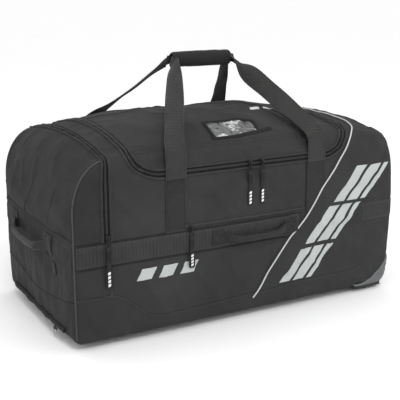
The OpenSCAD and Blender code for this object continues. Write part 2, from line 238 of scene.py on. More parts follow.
# ------------------------------------------------------------------ the bag's soft outer form
# A point of a nominal box (flat faces, sharp edges) is carried onto the sagging, round-edged bag.
LA, LB = 0.080, 0.118      # left top corner, across and down
RA, RB = 0.050, 0.086      # right top corner
BR, BQ = 0.020, 0.030      # bottom corners, left and right
ZREF = Z1


def warp_xz(x, z):
    x, z = np.array(x, float), np.array(z, float)
    for cx, cz, a, b, sx, sz in (
        (X0 + LA, ZREF - LB, LA, LB, -1, 1),
        (X1 - RA, ZREF - RB, RA, RB, 1, 1),
        (X0 + BR, Z0 + BR, BR, BR, -1, -1),
        (X1 - BQ, Z0 + BQ, BQ, BQ, 1, -1),
    ):
        p = sx * (x - cx) / a
        q = sz * (z - cz) / b
        m = (p > 0) & (q > 0)
        pm, qm = np.clip(p[m], 0, 1), np.clip(q[m], 0, 1)
        x[m] = cx + sx * a * pm * np.sqrt(1 - qm * qm / 2)
        z[m] = cz + sz * b * qm * np.sqrt(1 - pm * pm / 2)
    return x, z


def _outline():
    n = 500
    xs = np.linspace(X0, X1, n)
    zs = np.linspace(Z0, Z1, n)
    px = np.concatenate([xs[:-1], np.full(n - 1, X1), xs[::-1][:-1], np.full(n - 1, X0)])
    pz = np.concatenate([np.full(n - 1, Z0), zs[:-1], np.full(n - 1, Z1), zs[::-1][:-1]])
    x, z = warp_xz(px, pz)
    o = np.stack([x, z], 1)
    t = np.roll(o, -1, 0) - np.roll(o, 1, 0)
    t /= np.linalg.norm(t, axis=1, keepdims=True)
    nrm = np.stack([t[:, 1], -t[:, 0]], 1)
    return o, nrm


OUT, OUTN = _outline()


def nearest_out(x, z):
    q = np.stack([x, z], 1)
    idx = np.empty(len(q), int)
    for i in range(0, len(q), 4000):
        d = ((q[i:i + 4000, None, :] - OUT[None, :, :]) ** 2).sum(2)
        idx[i:i + 4000] = d.argmin(1)
    o, n = OUT[idx], OUTN[idx]
    d = -((q - o) * n).sum(1)
    return o, n, np.maximum(d, 0)


def edge_radius(o):
    """How softly the front and back panels roll over at outline point o."""
    x, z = o[:, 0], o[:, 1]
    top = sstep(0.30, 0.41, z)
    mid = sstep(-0.335, -0.27, x) * (1 - sstep(0.30, 0.37, x))
    r = 0.013 + top * (0.010 * sstep(-0.36, -0.30, x)) + top * mid * 0.020
    r = r + 0.003 * sstep(0.36, 0.42, x)
    r = r + 0.004 * (1 - sstep(0.03, 0.08, z))
    return r


def crown_at(x):
    return CROWN * (0.30 + 0.70 * sstep(-0.43, -0.16, x)) * (1 - 0.68 * sstep(0.10, 0.40, x))


def shape(P):
    """Nominal box points to the bag's form, before the cloth settles."""
    P = np.atleast_2d(np.asarray(P, float))
    x, z = warp_xz(np.clip(P[:, 0], X0, X1), np.clip(P[:, 2], Z0, Z1))
    y = P[:, 1].copy()
    s = np.where(y < 0, -1.0, 1.0)
    side = np.abs(y) >= W - 1e-7
    o, n, d = nearest_out(x, z)
    r = edge_radius(o)
    e = W - np.abs(y)
    theta = np.where(side, math.pi / 4 * (1 - np.clip(d / r, 0, 1)), math.pi / 4 * (1 + np.clip(e / r, 0, 1)))
    near = np.where(side, d < r, e < r)
    out = np.stack([x, y, z], 1)
    k = near
    sin, cos = np.sin(theta), np.cos(theta)
    out[k, 0] = o[k, 0] - n[k, 0] * r[k] * (1 - sin[k])
    out[k, 2] = o[k, 1] - n[k, 1] * r[k] * (1 - sin[k])
    out[k, 1] = s[k] * (W - r[k] * (1 - cos[k]))
    X, Y, Z = out[:, 0], out[:, 1], out[:, 2]
    up = sstep(0.285, 0.405, Z)
    out[:, 2] = Z + crown_at(X) * (1 - np.clip(Y / W, -1, 1) ** 2) * up
    # panels swell a little between their seams
    u = (X - X0) / (X1 - X0)
    v = (Z - Z0) / (Z1 - Z0)
    face = sstep(0.0, 0.03, d) * side
    out[:, 1] += s * face * 0.0045 * np.sin(math.pi * np.clip(u, 0, 1)) * np.sin(math.pi * np.clip(v, 0, 1))
    yy = np.clip(Y / W, -1, 1)
    endl = (~side) & (P[:, 0] <= X0 + 1e-7)
    endr = (~side) & (P[:, 0] >= X1 - 1e-7)
    b = (1 - yy ** 2) * np.sin(math.pi * np.clip(v * 1.05, 0, 1))
    out[:, 0] += 0.012 * sstep(0.30, 0.43, X) * np.sin(math.pi * np.clip(v * 1.02, 0, 1)) ** 0.8
    out[endl, 0] -= (0.003 * b * (1 - sstep(0.28, 0.36, Z)))[endl]
    out[endr, 0] += (0.005 * b * (1 - sstep(0.28, 0.37, Z)))[endr]
    return out


# ------------------------------------------------------------------ the skin grid
def lines(a, b, n, extra=()):
    v = np.linspace(a, b, n)
    for e in extra:
        i = np.argmin(abs(v - e))
        if 0 < i < n - 1:
            v[i] = e
    return v


def face_grids(step):
    nx = int(round((X1 - X0) / step)) + 1
    ny = int(round(2 * W / step)) + 1
    nz = int(round((Z1 - Z0) / step)) + 1
    xs = lines(X0, X1, nx, (ENDX, LIDX0))
    ys = lines(-W, W, ny)
    zs = lines(Z0, Z1, nz, (FLAPZ, LIPZ))
    return xs, ys, zs


def refine(v):
    return np.sort(np.concatenate([v, (v[1:] + v[:-1]) / 2]))


def box_mesh(xs, ys, zs):
    """Welded quads over the six faces, and each vertex's nominal point."""
    pts, quads, base = [], [], 0

    def add(a, b, f, flip):
        nonlocal base
        A, B = np.meshgrid(a, b, indexing="ij")
        pts.append(f(A.ravel(), B.ravel()))
        n, m = len(a), len(b)
        i, j = np.meshgrid(np.arange(n - 1), np.arange(m - 1), indexing="ij")
        i, j = i.ravel(), j.ravel()
        q = np.stack([i * m + j, (i + 1) * m + j, (i + 1) * m + j + 1, i * m + j + 1], 1) + base
        quads.append(q[:, ::-1] if flip else q)
        base += n * m

    add(xs, zs, lambda a, b: np.stack([a, np.full_like(a, -W), b], 1), False)
    add(xs, zs, lambda a, b: np.stack([a, np.full_like(a, W), b], 1), True)
    add(xs, ys, lambda a, b: np.stack([a, b, np.full_like(a, Z1)], 1), False)
    add(xs, ys, lambda a, b: np.stack([a, b, np.full_like(a, Z0)], 1), True)
    add(ys, zs, lambda a, b: np.stack([np.full_like(a, X0), a, b], 1), True)
    add(ys, zs, lambda a, b: np.stack([np.full_like(a, X1), a, b], 1), False)
    P = np.concatenate(pts)
    Q = np.concatenate(quads)
    key = np.round(P * 1e6).astype(np.int64)
    _, first, inv = np.unique(key, axis=0, return_index=True, return_inverse=True)
    inv = inv.ravel()
    return P[first], inv[Q]


def new_mesh(name, V, F, smooth=True):
    me = bpy.data.meshes.new(name)
    me.from_pydata([tuple(map(float, v)) for v in V], [], [tuple(int(i) for i in f) for f in F])
    me.update()
    if smooth:
        me.polygons.foreach_set("use_smooth", [True] * len(me.polygons))
    o = bpy.data.objects.new(name, me)
    bpy.context.scene.collection.objects.link(o)
    return o


def vert_normals(V, F):
    V = np.asarray(V)
    F = np.asarray(F)
    n = np.cross(V[F[:, 2]] - V[F[:, 0]], V[F[:, 3]] - V[F[:, 1]])
    out = np.zeros_like(V)
    for k in range(4):
        np.add.at(out, F[:, k], n)
    return out / np.maximum(np.linalg.norm(out, axis=1, keepdims=True), 1e-12)


def seam_distance(P):
    """Rough distance of a nominal point from the nearest seam that holds the fabric."""
    x, y, z = P[:, 0], P[:, 1], P[:, 2]
    side = np.abs(y) >= W - 1e-7
    top = (~side) & (z >= Z1 - 1e-7)
    d = np.full(len(P), 1.0)
    dx = np.minimum(abs(x - X0), abs(x - X1))
    dz = np.minimum(abs(z - Z0), abs(z - Z1))
    s = np.minimum.reduce([dx, dz, abs(z - BZ0), abs(z - BZ1), abs(x - ENDX) + 0.02 * (z < FLAPZ)])
    s = np.where((abs(abs(x) - STRAPX) < 0.03) & (z > BZ1) & (z < LIPZ), np.minimum(s, np.maximum(abs(abs(x) - STRAPX) - 0.025, 0)), s)
    s = np.where((x > -0.25) & (x < 0.22), np.minimum(s, abs(z - LIPZ)), s)
    d = np.where(side, s, d)
    t = np.minimum.reduce([W - abs(y), abs(x - LIDX0), abs(x - LIDX1), abs(x - ENDX), abs(x - X1)])
    d = np.where(top, t, d)
    rest = (~side) & (~top)
    q = np.minimum.reduce([W - abs(y), dz, abs(z - FLAPZ), abs(z - BZ0)])
    return np.where(rest, q, d)


def settle(V, F, P):
    """Slack fabric between held seams: Blender's cloth, twenty frames, its movement capped."""
    o = new_mesh("cloth_work", V, F)
    pin = o.vertex_groups.new(name="pin")
    d = seam_distance(P)
    bottom = P[:, 2] <= Z0 + 1e-7
    for i in np.nonzero((d < 0.007) | bottom)[0]:
        pin.add([int(i)], 1.0, "REPLACE")
    md = o.modifiers.new("cloth", "CLOTH")
    c = md.settings
    c.quality = 5
    c.mass = 0.35
    c.tension_stiffness = c.compression_stiffness = 18
    c.shear_stiffness = 8
    c.bending_stiffness = 1.2
    c.vertex_group_mass = "pin"
    c.shrink_min = -0.010
    c.use_pressure = True
    c.uniform_pressure_force = 1.2
    c.effector_weights.gravity = 0.55
    md.collision_settings.use_collision = False
    md.collision_settings.use_self_collision = False
    md.point_cache.frame_start, md.point_cache.frame_end = 1, 20
    sc = bpy.context.scene
    sc.frame_start, sc.frame_end = 1, 20
    for f in range(1, 21):
        sc.frame_set(f)
    dg = bpy.context.evaluated_depsgraph_get()
    me = o.evaluated_get(dg).to_mesh()
    co = np.empty(len(V) * 3)
    me.vertices.foreach_get("co", co)
    D = co.reshape(-1, 3) - V
    L = np.linalg.norm(D, axis=1, keepdims=True)
    cap = 0.0050
    D = D * np.where(L > 1e-9, cap * np.tanh(L / cap) / np.maximum(L, 1e-9), 0)
    sc.frame_set(1)
    bpy.data.objects.remove(o)
    D[~np.isfinite(D).all(1)] = 0
    return D


def make_skin():
    xs, ys, zs = face_grids(0.0100)
    P, F = box_mesh(xs, ys, zs)
    V = shape(P)
    D = np.zeros_like(V) if QUICK else settle(V, F, P)
    fx, fy, fz = refine(xs), refine(ys), refine(zs)
    P2, F2 = box_mesh(fx, fy, fz)
    V2 = shape(P2)
    # carry the cloth's movement to the finer grid
    key = {tuple(k): i for i, k in enumerate(np.round(P * 1e6).astype(np.int64).tolist())}
    D2 = np.zeros_like(V2)

    def lohi(axis, v):
        i = np.clip(np.searchsorted(axis, v - 1e-9), 0, len(axis) - 1)
        hit = np.isclose(axis[i], v, atol=1e-7)
        lo = np.where(hit, i, np.maximum(i - 1, 0))
        return lo, i
    ix, iy, iz = lohi(xs, P2[:, 0]), lohi(ys, P2[:, 1]), lohi(zs, P2[:, 2])
    cnt = np.zeros(len(P2))
    kx, ky, kz = [np.round(a * 1e6).astype(np.int64) for a in (xs, ys, zs)]
    for a in (0, 1):
        for b in (0, 1):
            for c in (0, 1):
                idx = [key.get(t, -1) for t in zip(kx[ix[a]].tolist(), ky[iy[b]].tolist(), kz[iz[c]].tolist())]
                idx = np.array(idx)
                m = idx >= 0
                D2[m] += D[idx[m]]
                cnt[m] += 1
    D2 /= np.maximum(cnt, 1)[:, None]
    V2 = V2 + D2
    for _ in range(2):
        V2 = relax(V2, F2, 0.25)
    N = vert_normals(V2, F2)
    d = seam_distance(P2)
    side = np.abs(P2[:, 1]) >= W - 1e-7
    soft = sstep(0.0, 0.03, d)
    # long slack folds, then puckers beside the seams
    low = noise3(P2 * [1, 1, 1.5], 0.11, 3) * 0.0022 + noise3(P2 * [1.0, 1, 2.0], 0.055, 5) * 0.0012
    diag = P2 @ np.array([[0.8, 0.3, 0.5], [0, 1, 0], [0.5, 0, 1]])
    fold = (1 - np.abs(noise3(diag * [1, 1, 0.45], 0.06, 11))) ** 3 * 0.0020
    puck = noise3(np.stack([P2[:, 0] + P2[:, 1], P2[:, 2] * 0.3, d * 0.4], 1), 0.014, 9) * 0.0009 * np.exp(-(d / 0.012) ** 2) * (d > 0.002)
    bottom = P2[:, 2] <= Z0 + 1e-7
    h = (low * 1.6 + fold * 1.7 - 0.0010) * soft + puck * 1.2
    h[bottom] *= 0.3
    V2 = V2 + N * h[:, None]
    V2[:, 2] = np.maximum(V2[:, 2], Z0 - 0.001)
    return P2, V2, F2


def relax(V, F, k):
    s = np.zeros_like(V)
    c = np.zeros(len(V))
    for a in range(4):
        b = (a + 1) % 4
        np.add.at(s, F[:, a], V[F[:, b]])
        np.add.at(s, F[:, b], V[F[:, a]])
        np.add.at(c, F[:, a], 1)
        np.add.at(c, F[:, b], 1)
    return V * (1 - k) + s / c[:, None] * k


SP, SV, SF = make_skin()
_n = vert_normals(SV, SF)
for _ in range(6):
    _n = relax(_n, SF, 0.6)
SN = _n / np.linalg.norm(_n, axis=1, keepdims=True)
BVH = BVHTree.FromPolygons([tuple(v) for v in SV.tolist()], [tuple(f) for f in SF.tolist()])


def on(P, h=0.0):
    """Nominal points to the settled skin, h metres proud of it. Returns points and normals."""
    P = np.atleast_2d(np.asarray(P, float))
    B = shape(P)
    out, nrm = np.empty_like(B), np.empty_like(B)
    for i, b in enumerate(B.tolist()):
        loc, _, f, _ = BVH.find_nearest(b)
        q = SF[f]
        w = 1.0 / (np.linalg.norm(SV[q] - np.array(loc), axis=1) + 1e-4)
        n = (SN[q] * w[:, None]).sum(0)
        n /= np.linalg.norm(n)
        out[i] = loc
        nrm[i] = n
    return out + nrm * (np.broadcast_to(np.asarray(h, float).reshape(-1, 1) if np.ndim(h) else h, (len(P), 1))), nrm


def snap(C, h):
    """Points in space back to h metres over the settled skin."""
    out = np.empty_like(C)
    for i, b in enumerate(C.tolist()):
        loc, _, f, _ = BVH.find_nearest(b)
        n = SN[SF[f]].sum(0)
        out[i] = np.array(loc) + n / np.linalg.norm(n) * h
    return out


# ------------------------------------------------------------------ charts: flat drawings laid on the skin
LX = X1 - X0


def roll(q):
    """(x, t): t below 0 is down the front from its top edge, then back over the top, then down the back."""
    q = np.atleast_2d(q)
    x, t = q[:, 0], q[:, 1]
    y = np.clip(-W + t, -W, W)
    z = np.where(t < 0, Z1 + t, np.where(t > 2 * W, Z1 - (t - 2 * W), Z1))
    return np.stack([x, y, z], 1)


def front(q):
    """(x, z) on the front."""
    q = np.atleast_2d(q)
    return np.stack([q[:, 0], np.full(len(q), -W), q[:, 1]], 1)


def back(q):
    q = np.atleast_2d(q)
    return np.stack([q[:, 0], np.full(len(q), W), q[:, 1]], 1)


def wrap(q):
    """(s, z) round the sides: s is 0 at the front left corner, positive along the front to the right end and the back, negative round the left end."""
    q = np.atleast_2d(q)
    s, z = q[:, 0], q[:, 1]
    x = np.where(s < -2 * W, X0 + (-s - 2 * W), np.where(s < 0, X0, np.where(s < LX, X0 + s, np.where(s < LX + 2 * W, X1, X1 - (s - LX - 2 * W)))))
    y = np.where(s < -2 * W, W, np.where(s < 0, -W - s, np.where(s < LX, -W, np.where(s < LX + 2 * W, -W + (s - LX), W))))
    return np.stack([x, y, z], 1)


def left(q):
    """(y, z) on the left end, drawn so that y runs away from the front."""
    q = np.atleast_2d(q)
    return wrap(np.stack([-(q[:, 0] + W), q[:, 1]], 1))


def edge_front(q):
    """(s, e) round the front edge of the left end: s up the end from the base and then along the top, e across it."""
    q = np.atleast_2d(q)
    s = q[:, 0]
    H = Z1 - Z0
    return np.stack([np.where(s < H, X0, X0 + s - H), np.full(len(q), -W), np.where(s < H, Z0 + s, Z1)], 1)


def resample(P, step):
    P = np.asarray(P, float)
    d = np.linalg.norm(np.diff(P, axis=0), axis=1)
    s = np.concatenate([[0], np.cumsum(d)])
    n = max(2, int(round(s[-1] / step)) + 1)
    q = np.linspace(0, s[-1], n)
    return np.stack([np.interp(q, s, P[:, k]) for k in range(P.shape[1])], 1)


def spline(P, step=0.004):
    """Smooth line through the points, evenly spaced."""
    P = np.asarray(P, float)
    Q = np.vstack([2 * P[0] - P[1], P, 2 * P[-1] - P[-2]])
    out = []
    for i in range(1, len(Q) - 2):
        t = np.linspace(0, 1, 24, endpoint=False)[:, None]
        a, b, c, d = Q[i - 1], Q[i], Q[i + 1], Q[i + 2]
        out.append(0.5 * (2 * b + (c - a) * t + (2 * a - 5 * b + 4 * c - d) * t ** 2 + (3 * b - a - 3 * c + d) * t ** 3))
    out.append(P[-1:])
    return resample(np.vstack(out), step)


def normals2d(P):
    t = np.gradient(P, axis=0)
    t /= np.maximum(np.linalg.norm(t, axis=1, keepdims=True), 1e-9)
    return np.stack([-t[:, 1], t[:, 0]], 1)


def offset2d(P, d):
    return P + normals2d(P) * d


# ------------------------------------------------------------------ mesh makers
PIECES = {}


# webbing and flap fabric turn gradually over these spans, from the shell to the moving body
BENDS = {
    "front_loop": ((0, -W - 0.0065, LIPZ - 0.012), (0, -0.178, 0.483)),
    "back_loop": ((0, W + 0.0065, LIPZ - 0.012), (0, 0.178, 0.483)),
    "end_flap": ((X0, 0, FLAPZ), (X0 + 0.015, 0, FLAPZ + 0.015)),
}


def keep(o, body, mats, replaces=(), slot=None, smooth=True):
    for m in (mats if isinstance(mats, (list, tuple)) else [mats]):
        o.data.materials.append(m)
    if smooth:
        o.data.polygons.foreach_set("use_smooth", [True] * len(o.data.polygons))
    if body in BENDS and not o.name.startswith("grip_"):
        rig.blend(o, "shell", body, *BENDS[body])
    elif body:
        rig.ride(o, body)
    if replaces:
        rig.replaces(o, *replaces)
    if slot:
        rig.slot(o, slot)
    PIECES[o.name] = o
    return o


def fix_normals(o):
    bm = bmesh.new()
    bm.from_mesh(o.data)
    bmesh.ops.recalc_face_normals(bm, faces=bm.faces)
    bm.to_mesh(o.data)
    bm.free()
    return o


def slab(name, T, B):
    """A closed thin piece between two n by m grids of points."""
    n, m = T.shape[:2]
    V = np.concatenate([T.reshape(-1, 3), B.reshape(-1, 3)])
    i, j = np.meshgrid(np.arange(n - 1), np.arange(m - 1), indexing="ij")
    i, j = i.ravel(), j.ravel()
    a = i * m + j
    top = np.stack([a, a + m, a + m + 1, a + 1], 1)
    s = n * m
    F = [top, top[:, ::-1] + s]
    I = np.arange(n - 1)
    J = np.arange(m - 1)
    for k in (0, m - 1):
        e = np.stack([I * m + k, (I + 1) * m + k, (I + 1) * m + k + s, I * m + k + s], 1)
        F.append(e if k else e[:, ::-1])
    for k in (0, n - 1):
        e = np.stack([k * m + J, k * m + J + 1, k * m + J + 1 + s, k * m + J + s], 1)
        F.append(e[:, ::-1] if k else e)
    return fix_normals(new_mesh(name, V, np.concatenate(F)))


def sharp(o, angle=50):
    """Keeps crisp edges crisp under smooth shading."""
    bm = bmesh.new()
    bm.from_mesh(o.data)
    for e in bm.edges:
        if len(e.link_faces) == 2 and e.calc_face_angle(0) > math.radians(angle):
            e.smooth = False
    bm.to_mesh(o.data)
    bm.free()
    return o


def ribbon(name, path, width, chart, mat, body, h=0.0012, bottom=-0.0005, across=4, step=0.004, relief=None, replaces=(), slot=None, shift=0.0):
    P = resample(path, step)
    N2 = normals2d(P)
    wid = np.broadcast_to(np.asarray(width, float), (len(P),)) if np.ndim(width) else np.full(len(P), width)
    u = np.linspace(-1, 1, across + 1)
    Q = P[:, None, :] + N2[:, None, :] * (shift + u[None, :, None] * wid[:, None, None] / 2)
    n, m = Q.shape[:2]
    s = np.concatenate([[0], np.cumsum(np.linalg.norm(np.diff(P, axis=0), axis=1))])
    base, nrm = on(chart(Q.reshape(-1, 2)), 0.0)
    H = np.broadcast_to(h * (1 - 0.35 * np.abs(u[None, :]) ** 6), (n, m)).copy()
    if relief is not None:
        H = H + relief(s[:, None], u[None, :])
    T = (base + nrm * H.reshape(-1, 1)).reshape(n, m, 3)
    B = (base + nrm * bottom).reshape(n, m, 3)
    return keep(sharp(slab(name, T, B)), body, mat, replaces, slot)


def loft(name, rings, closed_ends=True):
    """Skin over a list of k by 3 rings."""
    R = [np.asarray(r, float) for r in rings]
    k = len(R[0])
    V = np.concatenate(R)
    F = []
    for i in range(len(R) - 1):
        for j in range(k):
            F.append((i * k + j, i * k + (j + 1) % k, (i + 1) * k + (j + 1) % k, (i + 1) * k + j))
    if closed_ends:
        F.append(tuple(range(k - 1, -1, -1)))
        F.append(tuple((len(R) - 1) * k + j for j in range(k)))
    return fix_normals(new_mesh(name, V, F))


def rrect(w, h, r, n=4):
    """Rounded rectangle outline, half sizes w and h."""
    r = min(r, w, h)
    out = []
    for cx, cy, a0 in ((w - r, h - r, 0), (-w + r, h - r, 90), (-w + r, -h + r, 180), (w - r, -h + r, 270)):
        for k in range(n + 1):
            a = math.radians(a0 + 90 * k / n)
            out.append((cx + r * math.cos(a), cy + r * math.sin(a)))
    return np.array(out)


def sweep(name, C, U, V, ring):
    """Rings of a 2-D outline, ring(i) -> k by 2, along centres C with axes U and V."""
    return loft(name, [C[i] + ring(i)[:, :1] * U[i] + ring(i)[:, 1:] * V[i] for i in range(len(C))])


def unit(v):
    v = np.asarray(v, float)
    return v / np.maximum(np.linalg.norm(v, axis=-1, keepdims=True), 1e-12)


DASH = {}


def stitch(group, path, chart, h=0.0002, pitch=0.0042, long=0.0028):
    """Adds a row of stitches to a group, which becomes one piece at the end."""
    P = resample(path, pitch / 2)
    B, n = on(chart(P), h)
    add_dashes(group, B, n, long)


def add_dashes(group, B, n, long=0.0028, wide=0.00042, high=0.0005):
    V, F = DASH.setdefault(group, ([], []))
    for i in range(1, len(B) - 1, 2):
        t = B[i + 1] - B[i - 1]
        L = np.linalg.norm(t)
        if L < 1e-6 or L > 0.02:
            continue
        t /= L
        s = np.cross(n[i], t)
        c, a = B[i], long / 2
        k = len(V)
        V.append(c - t * a)
        for f in (-0.55, 0.55):
            for p, q in ((-1, 0), (-0.7, 1), (0.7, 1), (1, 0)):
                V.append(c + t * a * f + s * wide * p + n[i] * high * q)
        V.append(c + t * a)
        r1, r2 = [k + 1, k + 2, k + 3, k + 4], [k + 5, k + 6, k + 7, k + 8]
        for j in range(4):
            j2 = (j + 1) % 4
            F.append((k, r1[j2], r1[j]))
            F.append((r1[j], r1[j2], r2[j2], r2[j]))
            F.append((k + 9, r2[j], r2[j2]))


def polygon_patch(name, poly, chart, mat, body, h=0.00035, bottom=-0.0003, cell=0.006, slot=None, relief=None):
    """A flat convex outline laid on the skin, with a thin edge."""
    poly = np.asarray(poly, float)
    lo, hi = poly.min(0), poly.max(0)
    n = np.maximum(2, np.ceil((hi - lo) / cell).astype(int) + 1)
    bm = bmesh.new()
    xs, ys = np.linspace(lo[0], hi[0], n[0]), np.linspace(lo[1], hi[1], n[1])
    g = [[bm.verts.new((x, y, 0)) for y in ys] for x in xs]
    for i in range(n[0] - 1):
        for j in range(n[1] - 1):
            bm.faces.new((g[i][j], g[i + 1][j], g[i + 1][j + 1], g[i][j + 1]))
    c = poly.mean(0)
    for i in range(len(poly)):
        a, b = poly[i], poly[(i + 1) % len(poly)]
        no = np.array([b[1] - a[1], a[0] - b[0]])
        if np.linalg.norm(no) < 1e-9:
            continue
        if no @ (c - a) > 0:
            no = -no
        bmesh.ops.bisect_plane(bm, geom=bm.verts[:] + bm.edges[:] + bm.faces[:], dist=1e-7,
                               plane_co=(a[0], a[1], 0), plane_no=(no[0], no[1], 0), clear_outer=True)
    bm.verts.ensure_lookup_table()
    bm.verts.index_update()
    Q = np.array([v.co[:2] for v in bm.verts])
    base, nrm = on(chart(Q), 0.0)
    hh = h + (relief(Q) if relief is not None else 0)
    T, B = base + nrm * np.reshape(np.broadcast_to(hh, len(Q)), (-1, 1)), base + nrm * bottom
    F = [[v.index for v in f.verts] for f in bm.faces]
    k = len(Q)
    edges = [(e.verts[0].index, e.verts[1].index) for e in bm.edges if len(e.link_faces) == 1]
    bm.free()
    faces = F + [[i + k for i in reversed(f)] for f in F] + [[a, b, b + k, a + k] for a, b in edges]
    me = bpy.data.meshes.new(name)
    me.from_pydata([tuple(v) for v in np.concatenate([T, B]).tolist()], [], faces)
    me.update()
    o = bpy.data.objects.new(name, me)
    bpy.context.scene.collection.objects.link(o)
    return keep(sharp(fix_normals(o)), body, mat, (), slot)


# ------------------------------------------------------------------ materials
class Nodes:
    def __init__(self, name):
        self.mat = bpy.data.materials.new(name)
        self.mat.use_nodes = True
        self.nt = self.mat.node_tree
        self.bsdf = self.nt.nodes["Principled BSDF"]
        tc = self.nt.nodes.new("ShaderNodeTexCoord")
        self.co = tc.outputs["Object"]

    def link(self, a, b):
        self.nt.links.new(a, b)

    def put(self, sock, v):
        if isinstance(v, bpy.types.NodeSocket):
            self.link(v, sock)
        else:
            sock.default_value = v

    def math(self, op, a, b=0.0, c=0.0):
        n = self.nt.nodes.new("ShaderNodeMath")
        n.operation = op
        for s, v in zip(n.inputs, (a, b, c)):
            self.put(s, v)
        return n.outputs[0]

    def noise(self, scale, detail=3.0, rough=0.55, co=None):
        n = self.nt.nodes.new("ShaderNodeTexNoise")
        self.link(co or self.co, n.inputs["Vector"])
        n.inputs["Scale"].default_value = scale
        n.inputs["Detail"].default_value = detail
        n.inputs["Roughness"].default_value = rough
        return n.outputs["Fac"]

    def remap(self, v, a, b, c, d):
        n = self.nt.nodes.new("ShaderNodeMapRange")
        self.link(v, n.inputs["Value"])
        for k, x in zip(("From Min", "From Max", "To Min", "To Max"), (a, b, c, d)):
            n.inputs[k].default_value = x
        return n.outputs["Result"]

    def mix(self, f, a, b, mode="MIX"):
        n = self.nt.nodes.new("ShaderNodeMix")
        n.data_type = "RGBA"
        n.blend_type = mode
        self.put(n.inputs[0], f)
        for s, v in ((n.inputs[6], a), (n.inputs[7], b)):
            self.put(s, v if isinstance(v, bpy.types.NodeSocket) else (*v, 1.0))
        return n.outputs[2]

    def scaled(self, x, y, z):
        n = self.nt.nodes.new("ShaderNodeMapping")
        self.link(self.co, n.inputs["Vector"])
        n.inputs["Scale"].default_value = (x, y, z)
        return n.outputs["Vector"]

    def xyz(self):
        n = self.nt.nodes.new("ShaderNodeSeparateXYZ")
        self.link(self.co, n.inputs[0])
        return n.outputs

    def weave(self, pitch):
        k = 2 * math.pi / pitch
        x, y, z = self.xyz()
        a = self.math("SINE", self.math("MULTIPLY", x, k))
        b = self.math("SINE", self.math("MULTIPLY", y, k))
        c = self.math("SINE", self.math("MULTIPLY", z, k))
        ab = self.math("MULTIPLY", a, b)
        bc = self.math("MULTIPLY", b, c)
        ca = self.math("MULTIPLY", c, a)
        s = self.math("ADD", self.math("ADD", ab, bc), ca)
        t = self.math("ADD", self.math("ADD", a, b), c)
        return self.math("ADD", self.math("MULTIPLY", s, 0.4), self.math("MULTIPLY", t, 0.3))

    def wear(self, amount):
        g = self.nt.nodes.new("ShaderNodeNewGeometry")
        return self.remap(g.outputs["Pointiness"], 0.515, 0.60, 0.0, amount)

    def bump(self, height, strength, distance):
        n = self.nt.nodes.new("ShaderNodeBump")
        n.inputs["Strength"].default_value = strength
        n.inputs["Distance"].default_value = distance
        self.link(height, n.inputs["Height"])
        self.link(n.outputs["Normal"], self.bsdf.inputs["Normal"])

    def finish(self, color, rough, **direct):
        self.put(self.bsdf.inputs["Base Color"], color)
        self.put(self.bsdf.inputs["Roughness"], rough)
        for k, v in direct.items():
            self.bsdf.inputs[k.replace("_", " ")].default_value = v
        return self.mat


def cloth_mat(name, col, pitch=0.0012, bump=0.55, rough=0.80, sheen=0.010, var=0.20, wear=0.25, dist=0.0004, coarse=0.0, spec=0.13, deep=0.30):
    m = Nodes(name)
    col = np.array(col, float)
    w = m.weave(pitch)
    big = m.remap(m.noise(7.0, 4), 0.3, 0.7, 0.0, 1.0)
    c = m.mix(big, tuple(col * (1 - var)), tuple(col * (1 + var)))
    fleck = m.remap(m.noise(900.0, 2), 0.3, 0.7, 0.0, 0.35)
    c = m.mix(fleck, c, tuple(col * 1.35))
    # colour darkened towards col * 0.45 in the weave's low points, by up to deep: painted shade in the thread hollows
    dark = m.remap(w, -1.0, 1.0, deep, 0.0)
    c = m.mix(dark, c, tuple(col * 0.45))
    c = m.mix(m.wear(wear), c, tuple(np.minimum(col * 2.2 + 0.02, 1)))
    height = m.math("ADD", m.math("MULTIPLY", w, 0.6), m.math("MULTIPLY", m.noise(420.0, 3), 0.8))
    if coarse:
        height = m.math("ADD", height, m.math("MULTIPLY", m.noise(60.0, 4), coarse))
    m.bump(height, bump, dist)
    r = m.remap(m.noise(30.0, 3), 0.3, 0.7, rough - 0.07, rough + 0.06)
    return m.finish(c, r, Sheen_Weight=sheen, Sheen_Roughness=0.45, Specular_IOR_Level=spec)


def plastic_mat(name, col, rough=0.5, grain=600.0, bump=0.2, wear=0.35, var=0.12, spec=0.45):
    m = Nodes(name)
    col = np.array(col, float)
    c = m.mix(m.remap(m.noise(14.0, 4), 0.3, 0.7, 0, 1), tuple(col * (1 - var)), tuple(col * (1 + var)))
    scuff = m.remap(m.noise(55.0, 6, 0.7, co=m.scaled(1, 6, 1)), 0.62, 0.78, 0.0, 0.35)
    c = m.mix(scuff, c, tuple(np.minimum(col * 1.9 + 0.03, 1)))
    c = m.mix(m.wear(wear), c, tuple(np.minimum(col * 2.4 + 0.05, 1)))
    m.bump(m.noise(grain, 3), bump, 0.0003)
    r = m.remap(m.noise(40.0, 4), 0.3, 0.7, rough - 0.1, rough + 0.1)
    return m.finish(c, r, Specular_IOR_Level=spec)


def metal_mat(name, col, rough=0.3):
    m = Nodes(name)
    col = np.array(col, float)
    c = m.mix(m.remap(m.noise(80.0, 4), 0.3, 0.7, 0, 1), tuple(col * 0.8), tuple(col * 1.1))
    m.bump(m.noise(300.0, 4, co=m.scaled(1, 1, 12)), 0.15, 0.0002)
    r = m.remap(m.noise(120.0, 4), 0.3, 0.7, rough - 0.08, rough + 0.14)
    return m.finish(c, r, Metallic=1.0)


